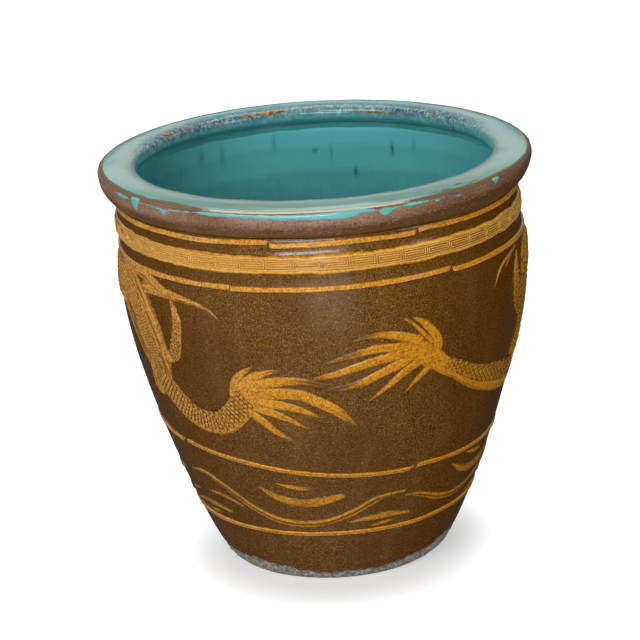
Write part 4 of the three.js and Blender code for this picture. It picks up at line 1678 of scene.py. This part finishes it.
SWELL_START: tuple[Point, ...] = (
    (-46, 130, 1.5), (-36.5, 131.7, 3.8), (-27.4, 120, 4.4), (-18, 100.6, 4.6), (-8.5, 87.2, 4.8),
    (1, 83.6, 4.8), (10.5, 86.7, 4.8))
SWELL = stripe(*SWELL_START, (20, 97.8, 4.6), (29.5, 113, 4.2), (39, 116.1, 1.8))
SHORT_SWELL = stripe(*SWELL_START, (17.5, 93.9, 4.0), (24.5, 101.4, 1.5))
LATE_SWELL = stripe((-32.5, 110, 1.5), (-26, 105.2, 3.8), (-17, 93.9, 4.4), (-8, 88.3, 4.6), (1, 90.9, 4.6),
                    (10.5, 97.7, 4.6), (20, 105.6, 4.6), (29.5, 113.6, 4.2), (39, 116.1, 1.5))
SWELL_FORMS = (SWELL, LATE_SWELL, SWELL, SWELL, SHORT_SWELL)
LATE_LEFT = claw((4, 77, 1), (9, 79.2, 2.7), (15, 79.6, 2.7), (20, 77, 1))
RIPPLES = {
    "left": hair((-40, 105.5, 1), (-34, 108, 3), (-27, 104.5, 3), (-21, 96.5, 1)),
    "crest": hair((-13, 131, 1.5), (-7, 119, 4.8), (2, 112.5, 6), (10, 116, 6), (16, 121, 3.6)),
    "upper": claw((-6, 138, 1.2), (-1, 134, 3.2), (3, 132, 3.2), (8, 133, 1.2)),
    "right": hair((19, 84, 1.5), (26, 87, 3.6), (34, 88, 4.6), (42, 85, 2)),
    "low": claw((27, 76, 1), (32, 78, 2.5), (38, 79.5, 1)),
}


@dataclass(frozen=True)
class Waves:
    """Swells and ripples between the two wave lines."""

    first_trough: float = -14.0
    relief: float = 1.3
    thin: float = 0.16

    def build(self, finishes: Finishes) -> None:
        """Make each swell with its ripples.

        Args:
            finishes: Materials of the pot.
        """
        for number, form in enumerate(SWELL_FORMS, start=1):
            turn = self.first_trough + (number - 1) * 360.0 / len(SWELL_FORMS)
            ripples = {**RIPPLES, "left": LATE_LEFT} if form is LATE_SWELL else RIPPLES
            pieces = {f"swell_{number}": form}
            pieces.update({f"ripple_{place}_{number}": ripple for place, ripple in ripples.items()})
            for order, (node, strip) in enumerate(pieces.items()):
                seed = 100 + 10 * number + order
                Relief(node, (strip.moved(1, turn),), self.relief, seed, thin=self.thin).build(finishes)


# Dragons


BACK: tuple[Point, ...] = ((78, 343, 21), (90, 346, 17), (102, 335, 16), (112, 310, 16), (121, 286, 16),
                           (131, 272, 15), (141, 277, 13), (148, 292, 11))
HEAD = (
    slab((147, 302, 8), (152, 314, 13), (157, 325, 12), (163, 331, 9), (170, 331, 3.5)),
    claw((154, 311, 6), (160, 308, 5), (166, 311, 1.5)),
    cut((152.5, 313, 1), (157, 315.5, 1), (162, 321, 1), (168, 327.5, 1)),
    cut((155.2, 326, 1), (156.4, 328, 1), (157.8, 328, 1), (158.8, 326.3, 1)),
    cut((156.3, 325.4, 1), (157, 325.6, 1.7), (157.7, 325.4, 1)),
    cut((166, 332.4, 1), (166.8, 332.8, 1.4), (167.5, 332.4, 1)),
)
HORN = (hair((158, 333, 4), (151, 345, 4), (143, 351, 3.5), (136, 350, 1.2)),)
MANE = (
    hair((151, 322, 6), (143, 327, 6), (135, 326, 4.5), (127, 321, 1.2)),
    hair((149, 313, 6), (141, 312, 5), (134, 306, 1.2)),
)
WHISKER = (hair((165, 337, 2.2), (168, 346, 2.2), (165, 356, 2), (158, 361, 1)),)
FORELEG = (
    slab((136, 262, 11), (140, 246, 11), (148, 234, 11), (156, 234, 11), (161, 241, 9)),
    claw((159, 244, 5), (165, 251, 4), (170, 254, 1.2)),
    claw((160, 241, 5), (167, 243, 4.5), (174, 241, 1.2)),
    claw((159, 237, 5), (166, 234, 4.5), (173, 228, 1.2)),
    claw((157, 233, 5), (162, 224, 4), (167, 217, 1.2)),
)


@dataclass(frozen=True)
class Dragon:
    """Dragon of slip on one side of the pot.

    Attributes:
        name: Start of its CAD nodes' names.
        side: 1 for the right half of the pot and -1 for the left half.
        body: Curve of the body up to the back.
        leg: Curve of the hind leg and the strips of its claws.
        tail: Strips of the tail.
        tuft: Strips of the tuft at the shoulder.
        leg_scales: Lowest and highest place of the leg's scales in half widths, and their end along it.
        cuts: Lines cut into the body.
        combed: Share of the body's length that is combed.
        relief: Thickness of the slip.
        teeth: Depth of the serration along the body.
    """

    name: str
    side: int
    body: tuple[Point, ...]
    leg: tuple[Strip, ...]
    tail: tuple[Strip, ...]
    tuft: tuple[Strip, ...]
    leg_scales: tuple[float, float, float]
    cuts: tuple[Strip, ...]
    combed: float = 0.0
    relief: float = 2.0
    teeth: float = 1.6

    def build(self, finishes: Finishes, scales: "Scales") -> None:
        """Make the dragon's pieces.

        Args:
            finishes: Materials of the pot.
            scales: Maker of the scales.
        """
        trunk = slab(*self.body, *BACK)
        parts = {"body": (trunk, *self.cuts), "hind_leg": self.leg, "tail": self.tail, "tuft": self.tuft,
                 "foreleg": FORELEG, "head": HEAD, "horn": HORN, "mane": MANE, "whisker": WHISKER}
        firsts = {}
        for order, (part, strips) in enumerate(parts.items()):
            own = tuple(strip.moved(self.side, 0.0) for strip in strips)
            teeth, combed = (self.teeth, self.combed) if part == "body" else (0.0, 0.0)
            seed = 200 + 20 * (self.side + 1) + order
            made = Relief(f"{self.name}_{part}", own, self.relief, seed, teeth, combed, side=self.side)
            made.build(finishes)
            firsts[part] = own[0]
        low, high, reach = self.leg_scales
        beds = [Bed(firsts["hind_leg"], low, high, 0.06, reach),
                Bed(firsts["body"], -0.75, 0.80, self.combed, 1.0),
                Bed(firsts["foreleg"], -0.7, 0.75, 0.05, 0.85),
                Bed(firsts["tail"], -0.6, 0.6, 0.10, 0.75, 0.75)]
        if self.combed:
            beds.append(Bed(firsts["body"], -0.25, 0.40, 0.02, self.combed, 0.62))
        scales.build(f"{self.name}_scales", beds, self, finishes)


@dataclass(frozen=True)
class Bed:
    """Part of a strip that scales lie on, across it in half widths and along it in shares of its length."""

    strip: Strip
    low: float
    high: float
    start: float
    end: float
    size: float = 1.0


@dataclass(frozen=True)
class Scales:
    """Overlapping fish scales, set on points by Geometry Nodes."""

    radius: float = 3.8
    step: float = 4.9
    spread: float = 6.2
    dome: float = 1.1
    tilt: float = 14.0
    sides: int = 10
    rings: int = 4
    level: float = 270.0

    def tree(self) -> ShapeTree:
        """Tree that sets one domed scale on every point."""
        tree = ShapeTree("fish_scales", {"Radius": "Float", "Dome": "Float", "Sides": "Int", "Rings": "Int"})
        given = tree.start.outputs
        ball = tree.add("GeometryNodeMeshUVSphere",
                        {"Segments": given["Sides"], "Rings": given["Rings"], "Radius": 1.0})
        here = tree.add("GeometryNodeInputPosition").outputs[0]
        split = tree.add("ShaderNodeSeparateXYZ", {0: here}).outputs
        flat = tree.add("ShaderNodeCombineXYZ", {0: split[0], 1: split[1]}).outputs[0]
        out = tree.add("ShaderNodeVectorMath", {0: flat}, operation="LENGTH").outputs["Value"]
        marked = tree.add("GeometryNodeStoreNamedAttribute",
                          {"Geometry": ball.outputs["Mesh"], "Name": "out", "Value": out},
                          data_type="FLOAT", domain="POINT")
        size = tree.add("ShaderNodeCombineXYZ", {0: given["Radius"], 1: given["Radius"], 2: given["Dome"]})
        scale = tree.add("GeometryNodeTransform", {"Geometry": marked.outputs[0], "Scale": size.outputs[0]})
        turn = tree.add("GeometryNodeInputNamedAttribute", {"Name": "turn"}, data_type="FLOAT_VECTOR")
        large = tree.add("GeometryNodeInputNamedAttribute", {"Name": "size"}, data_type="FLOAT")
        placed = tree.add("GeometryNodeInstanceOnPoints",
                          {"Points": given["Geometry"], "Instance": scale.outputs[0],
                           "Rotation": turn.outputs[0], "Scale": large.outputs[0]})
        tree.end(placed.outputs[0])
        return tree

    def build(self, name: str, beds: Iterable[Bed], dragon: Dragon, finishes: Finishes) -> None:
        """Make the scales of one dragon and bend them on to the wall.

        Args:
            name: Object name.
            beds: Where the scales lie.
            dragon: Dragon that wears them.
            finishes: Materials of the pot.
        """
        per_degree = float(WALL.per_degree(np.array(self.level)))
        rows = [self.lattice(bed, dragon.side, per_degree) for bed in beds]
        spots, turns, sizes = (np.concatenate(each) for each in zip(*rows))
        spots[:, 2] = dragon.relief
        mesh = bpy.data.meshes.new(name)
        mesh.from_pydata((spots * MM).tolist(), [], [])
        layer = mesh.attributes.new("turn", "FLOAT_VECTOR", "POINT")
        layer.data.foreach_set("vector", turns.astype(np.float32).ravel())
        piece = linked(name, mesh)
        add_values(piece, "size", sizes)
        self.tree().run(piece, {"Radius": self.radius * MM, "Dome": self.dome * MM, "Sides": self.sides,
                                "Rings": self.rings, "Material": finishes.slip})
        flat = mesh_points(piece) / MM
        set_mesh_points(piece, WALL.place(flat[:, 0] / per_degree, flat[:, 1], flat[:, 2]))
        out = vertex_values(piece, "out")
        add_values(piece, "slip", 0.9 + 0.0 * out)
        add_values(piece, "groove", np.clip((out - 0.65) * 3.6, 0.0, 0.95))
        piece.data.shade_smooth()
        finish_piece(piece, finishes.slip, [])

    def lattice(self, bed: Bed, side: int, per_degree: float) -> tuple[Array, Array, Array]:
        """Places of the scales on one bed.

        Args:
            bed: Where they lie.
            side: Side of the pot.
            per_degree: Flat length of one degree.

        Returns:
            Flat places in mm, turns in radians and sizes.
        """
        path = through(bed.strip.points, 24)
        flat = np.column_stack([path[:, 0] * per_degree, path[:, 1]])
        travelled = np.concatenate([[0.0], np.cumsum(np.hypot(*np.diff(flat, axis=0).T))])
        run = np.gradient(flat, travelled, axis=0)
        run /= np.linalg.norm(run, axis=1)[:, None]
        places, turns, sizes = [], [], []
        spread = self.spread * bed.size
        stops = np.arange(bed.start * travelled[-1], bed.end * travelled[-1], self.step * bed.size)
        for row, stop in enumerate(stops):
            at = np.array([np.interp(stop, travelled, flat[:, axis]) for axis in (0, 1)])
            ahead = np.array([np.interp(stop, travelled, run[:, axis]) for axis in (0, 1)])
            left = np.array([-ahead[1], ahead[0]])
            half = float(np.interp(stop, travelled, path[:, 2]))
            limit = sorted((bed.low * half * side, bed.high * half * side))
            count = int((limit[1] - limit[0]) / spread)
            for column in range(-count - 2, count + 3):
                aside = (column + 0.5 * (row % 2)) * spread
                if not limit[0] <= aside <= limit[1]:
                    continue
                noise = float(lattice_noise(np.array(row * 1.7), np.array(column * 2.3), 301))
                places.append([*(at + left * aside), 0.0])
                turns.append([0.0, math.radians(-self.tilt), math.atan2(ahead[1], ahead[0]) + 0.12 * noise])
                sizes.append(bed.size * (1.0 + 0.10 * noise))
        return np.array(places), np.array(turns), np.array(sizes)


LEFT_DRAGON = Dragon(
    "left_dragon", -1,
    body=((60, 236, 13), (57, 258, 24), (58.5, 290, 33), (63, 322, 35), (70, 341, 29)),
    leg=(
        slab((58, 254, 18), (52, 231, 16.5), (46, 214, 15), (40, 208.5, 14.5), (34, 211, 14.5), (29, 225, 15),
             (26, 237.5, 15), (23, 248, 13), (21, 253, 9)),
        claw((28, 250, 6), (27, 263, 6), (25.4, 273, 5), (23.3, 280, 3.5), (21, 284, 1.2)),
        claw((25, 260, 7), (21.4, 272, 6), (18.5, 277.5, 4.5), (15.7, 281, 2.8), (13, 282, 1)),
        wisp((22, 262, 8), (15, 268.5, 6), (10.6, 270, 5), (6.9, 269, 4.5), (1, 262, 3)),
        claw((20, 254, 8), (12.6, 254.5, 7), (7.8, 252, 7), (3.2, 243.5, 7), (-1, 234, 6.5), (-4.2, 224, 5),
             (-7, 213, 1.5)),
        claw((21, 244, 7), (14.2, 240, 5.5), (9.8, 236, 4.5), (6.1, 230.5, 3), (2.7, 224, 1)),
        claw((22.5, 237, 6), (16.8, 230, 5), (13, 224, 4), (9.8, 217.5, 2.8), (6.9, 211, 1)),
        claw((25, 233, 6), (20.7, 220, 5), (18.1, 211.5, 4.5), (15.5, 203.5, 3.8), (12.4, 197, 1.5)),
    ),
    tail=(slab((50, 278, 7), (47.5, 284, 8.5), (46, 294, 8.5), (44.6, 311, 7.5), (44, 325, 7),
               (44.7, 338, 4.5), (45.8, 348, 2)),),
    tuft=(
        hair((76, 350, 9), (69, 361, 9), (62, 368, 7), (56, 365, 8), (51, 358, 7), (47, 354, 5)),
        hair((58, 352, 7), (52, 354, 7), (48, 354, 6.5), (43.6, 353, 5), (38.8, 351, 3.8), (34.4, 348, 2.4),
             (31.5, 343, 1.6), (29, 335, 0.8)),
    ),
    leg_scales=(-0.88, 0.62, 0.92),
    cuts=(
        cut((69, 341, 1), (63.4, 328, 1), (59.6, 306, 1), (56.4, 286, 1), (52.9, 269, 1), (51, 258, 1)),
        cut((74, 338, 1), (68, 318, 1), (64, 296, 1), (61, 272, 1)),
    ),
    combed=0.30,
)
RIGHT_DRAGON = Dragon(
    "right_dragon", 1,
    body=((73, 239, 14), (77, 262, 16), (76, 290, 18), (75.7, 318, 18)),
    leg=(
        slab((76, 226, 16), (70.6, 217, 18), (64, 219, 18), (57.7, 225, 17), (49.5, 234.5, 14.5),
             (43, 246, 12.5), (38.8, 256, 11), (34, 266, 10.5), (30, 278, 12), (25, 290, 14), (21, 294, 10)),
        wisp((25, 304, 6), (18.9, 313, 5), (15.7, 316, 4.5), (11.7, 316.5, 3.5), (7.5, 313, 2)),
        wisp((21, 299, 6), (14, 301.5, 5), (9.2, 299.5, 4.5), (4.5, 295, 3.6), (-0.3, 289, 2.2)),
        claw((21, 292, 6.5), (13.1, 288, 5.5), (7.5, 283, 5), (1.1, 276, 4.0), (-5.5, 271, 2.4)),
        wisp((22, 283, 6), (14.7, 273, 5.5), (9.8, 264.5, 5), (4.9, 259.5, 4.2), (-0.7, 257, 2.6)),
        claw((25, 279, 6), (19.8, 266, 4.5), (16.4, 256, 3.5), (11, 241, 1)),
        claw((30, 273, 5), (27, 264, 3.8), (24.8, 257, 3), (21.8, 245, 1)),
        claw((30.5, 282, 7), (31, 297, 6), (29.4, 310, 5.5), (26.6, 322, 4.5), (23.5, 330, 1.2)),
        claw((29, 298, 3), (26.2, 311, 2.6), (22.7, 326, 2), (19.5, 333, 1)),
        cut((71, 214, 1), (64, 215.5, 1), (57.7, 221, 1), (49.5, 230.5, 1), (43, 242.5, 1), (38, 254, 1)),
    ),
    tail=(slab((73, 283, 6.5), (68, 300, 8), (66.1, 325, 8), (66.5, 343, 6), (67.6, 359, 2)),),
    tuft=(hair((64, 363.4, 2.4), (58, 356.9, 2.4), (55, 348.1, 2.2), (52.8, 335, 1)),
          hair((66.5, 366, 1.6), (63, 360.5, 1.8), (60.5, 355, 1.6), (58.9, 350, 0.8))),
    leg_scales=(-0.88, 0.15, 0.74),
    cuts=(),
)


@dataclass(frozen=True)
class Pearl:
    """Round pearl between the two heads."""

    angle: float = 180.0
    radius: float = 14.0
    relief: float = 3.0
    cell: float = 0.7
    degree: float = 3.8

    def sample(self, angle: Array, height: Array) -> Sample:
        """Dome with a ring cut in it.

        Args:
            angle: Degrees.
            height: Millimetres.

        Returns:
            Its height field.
        """
        away = np.hypot((angle - self.angle) * WALL.per_degree(height), height - node_middle("pearl"))
        inside = self.radius - away + 0.3 * ring_noise(angle, height, 430, 3.0, 91)
        dome = self.relief * np.sqrt(np.clip(1.0 - (away / self.radius) ** 2, 0.0, 1.0))
        groove = 0.8 * hump(away, 0.68 * self.radius, 0.7)
        rise = np.where(inside > 0, dome - 0.4 * groove, inside)
        return Sample(rise, smooth(inside, -0.3, 1.2), groove)

    def build(self, finishes: Finishes) -> None:
        """Make the pearl.

        Args:
            finishes: Materials of the pot.
        """
        level, reach = node_middle("pearl"), 1.2 * self.radius
        turn = reach / self.degree
        window = Window(self.angle - turn, self.angle + turn, level - reach, level + reach)
        piece = laid_on("pearl_slip", WALL, window, self.cell, self.sample)
        finish_piece(piece, finishes.slip, ["pearl"])


# Studio


@dataclass(frozen=True)
class Lamp:
    """Soft box that looks at the pot."""

    name: str
    place: Point
    width: float
    height: float
    power: float


@dataclass(frozen=True)
class Studio:
    """Camera at the photograph's angle, white floor and soft boxes."""

    eye: Point = (0.0, -2.3674, 1.0635)
    yaw: float = -0.165
    pitch: float = 18.691
    roll: float = -3.349
    lens: float = 123.75
    sensor: float = 36.0
    target: Point = (0.0, 0.0, 0.25)
    floor_reach: float = 6.0
    floor_tone: float = 0.45
    # Middle, reach and glow of the painted shadow round the pot on the floor.
    shadow_middle: Point = (0.0, -0.03, 0.0)
    shadow_reach: tuple[float, float] = (0.115, 0.225)
    shadow_lift: tuple[float, float] = (0.42, 0.98)
    card_aim: Point = (0.03, -0.99, -0.14)
    plain_light: float = 0.42
    lamps: tuple[Lamp, ...] = (
        Lamp("key_box", (-1.25, -2.2, 2.1), 1.9, 0.5, 48.0),
        Lamp("fill_box", (-0.40, -3.0, 0.60), 1.7, 0.22, 26.0),
        Lamp("top_box", (0.0, 0.8, 2.7), 2.0, 1.4, 24.0),
        Lamp("left_box", (-2.3, -0.9, 1.2), 0.8, 1.4, 1.5),
        Lamp("right_box", (2.2, -1.6, 1.2), 0.8, 1.4, 12.0),
    )

    def build(self) -> None:
        """Set up the camera, the floor, the lamps and the world."""
        self.camera()
        self.floor()
        for lamp in self.lamps:
            self.light(lamp)
        self.world()
        bpy.context.scene.view_settings.view_transform = "Standard"

    def camera(self) -> None:
        """Camera with the photograph's viewpoint, tilt and field of view."""
        yaw, pitch, roll = (math.radians(value) for value in (self.yaw, self.pitch, self.roll))
        ahead = Vector((math.sin(yaw) * math.cos(pitch), math.cos(yaw) * math.cos(pitch), -math.sin(pitch)))
        level = Vector((math.cos(yaw), -math.sin(yaw), 0.0))
        upward = level.cross(ahead)
        right = math.cos(roll) * level + math.sin(roll) * upward
        top = -math.sin(roll) * level + math.cos(roll) * upward
        data = bpy.data.cameras.new("studio_camera")
        data.lens, data.sensor_width, data.sensor_fit = self.lens, self.sensor, "HORIZONTAL"
        camera = linked("studio_camera", data)
        turn = Matrix((right, top, -ahead)).transposed().to_4x4()
        camera.matrix_world = Matrix.Translation(self.eye) @ turn
        bpy.context.scene.camera = camera

    def floor(self) -> None:
        """White floor that keeps the pot's shadow, with its glow to the camera dimmed round the pot as a
        painted shadow.
        """
        mesh = bpy.data.meshes.new("floor")
        reach = self.floor_reach
        corners = [(-reach, -reach, 0), (reach, -reach, 0), (reach, reach, 0), (-reach, reach, 0)]
        mesh.from_pydata(corners, [], [(0, 1, 2, 3)])
        floor = linked("floor", mesh)
        material = bpy.data.materials.new("white_floor")
        material.use_nodes = True
        tree = TreeBuilder(material.node_tree)
        material.node_tree.nodes.clear()
        matt = tree.add("ShaderNodeBsdfDiffuse", {"Color": (*[self.floor_tone] * 3, 1.0)})
        seen = tree.add("ShaderNodeLightPath").outputs["Is Camera Ray"]
        here = tree.add("ShaderNodeTexCoord").outputs["Object"]
        away = tree.add("ShaderNodeVectorMath", {0: here, 1: self.shadow_middle}, operation="DISTANCE")
        # Painted shadow: the glow seen by the camera is weaker near the pot's foot.
        lift = tree.ramp(away.outputs["Value"], self.shadow_reach, self.shadow_lift, "SMOOTHSTEP")
        glow = tree.add("ShaderNodeEmission", {"Strength": tree.times(seen, lift)})
        both = tree.add("ShaderNodeAddShader", {0: matt.outputs[0], 1: glow.outputs[0]})
        tree.add("ShaderNodeOutputMaterial", {"Surface": both.outputs[0]})
        mesh.materials.append(material)
        floor.visible_glossy = False

    def light(self, lamp: Lamp) -> None:
        """One soft box aimed at the pot."""
        data = bpy.data.lights.new(lamp.name, "AREA")
        data.shape, data.size, data.size_y, data.energy = "RECTANGLE", lamp.width, lamp.height, lamp.power
        light = linked(lamp.name, data)
        aim = Vector(self.target) - Vector(lamp.place)
        turn = aim.to_track_quat("-Z", "Y").to_matrix().to_4x4()
        light.matrix_world = Matrix.Translation(lamp.place) @ turn

    def world(self) -> None:
        """World that is white to the camera, plain to matt faces, and has soft lights for glossy ones."""
        world = bpy.data.worlds.new("studio")
        world.use_nodes = True
        tree = TreeBuilder(world.node_tree)
        rays = tree.add("ShaderNodeLightPath").outputs
        toward = tree.add("ShaderNodeTexCoord").outputs["Generated"]
        aim = tree.add("ShaderNodeSeparateXYZ", {0: toward}).outputs
        from_card = tree.add("ShaderNodeVectorMath", {0: toward, 1: self.card_aim}, operation="DISTANCE")
        card = tree.ramp(from_card.outputs["Value"], (0.08, 0.48), (1.6, 0.0), "SMOOTHSTEP")
        ahead = tree.times(tree.ramp(aim["Y"], (-0.9, 0.3), (0.40, 0.05)),
                          tree.ramp(aim["X"], (0.1, 0.8), (1.0, 0.1)))
        above = tree.math("MINIMUM", tree.ramp(aim["Z"], (0.08, 0.28), (0.0, 0.85)),
                          tree.ramp(aim["Z"], (0.35, 0.60), (0.85, 0.30)))
        mirrored = tree.math("MAXIMUM", card, tree.math("MAXIMUM", ahead, above))
        mirrored = tree.times(rays["Is Glossy Ray"], mirrored)
        plain = tree.times(tree.math("SUBTRACT", 1.0, rays["Is Glossy Ray"]), self.plain_light)
        shown = tree.math("ADD", mirrored, plain)
        strength = tree.math("MAXIMUM", shown, rays["Is Camera Ray"])
        background = world.node_tree.nodes["Background"]
        background.inputs["Color"].default_value = (1.0, 1.0, 1.0, 1.0)
        tree.feed(background.inputs["Strength"], strength)
        bpy.context.scene.world = world


# Whole pot


FRET_BAND = Band("fret_band", 1.8, 0.4, (), 55, key=0.66)
BANDS = (
    Band("top_band", 1.8, 0.35, ((-13.5, 0.6, -1.9), (27.0, 0.8, 1.4), (170.0, 1.0, 1.0)), 50),
    FRET_BAND,
    Band("lower_band", 1.8, 0.4, ((-25.0, 0.4, -0.6), (36.5, 0.8, -1.2), (200.0, 1.0, 1.0)), 60),
    Band("wave_floor_line", 1.4, 0.5, ((150.0, 2.0, 1.0),), 65, scored=0.7),
    Band("wave_ceiling_line", 1.4, 0.7, ((28.0, 1.5, 1.4), (-55.0, 1.2, 0.8)), 70, scored=0.7,
         tilt=16.0, sag=3.0, dip=3.5),
)


def main() -> None:
    """Build the studio and the pot."""
    logging.basicConfig(level=logging.INFO, format="%(message)s")
    Studio().build()
    finishes = Finishes.mixed()
    ThrownBody(finishes).build()
    Mouth(finishes, FORM.mouth()).build()
    for band in BANDS:
        band.build(finishes)
    FretKeys(FRET_BAND).build(finishes)
    Waves().build(finishes)
    scales = Scales()
    for dragon in (LEFT_DRAGON, RIGHT_DRAGON):
        dragon.build(finishes, scales)
    Pearl().build(finishes)


if __name__ == "__main__":
    main()
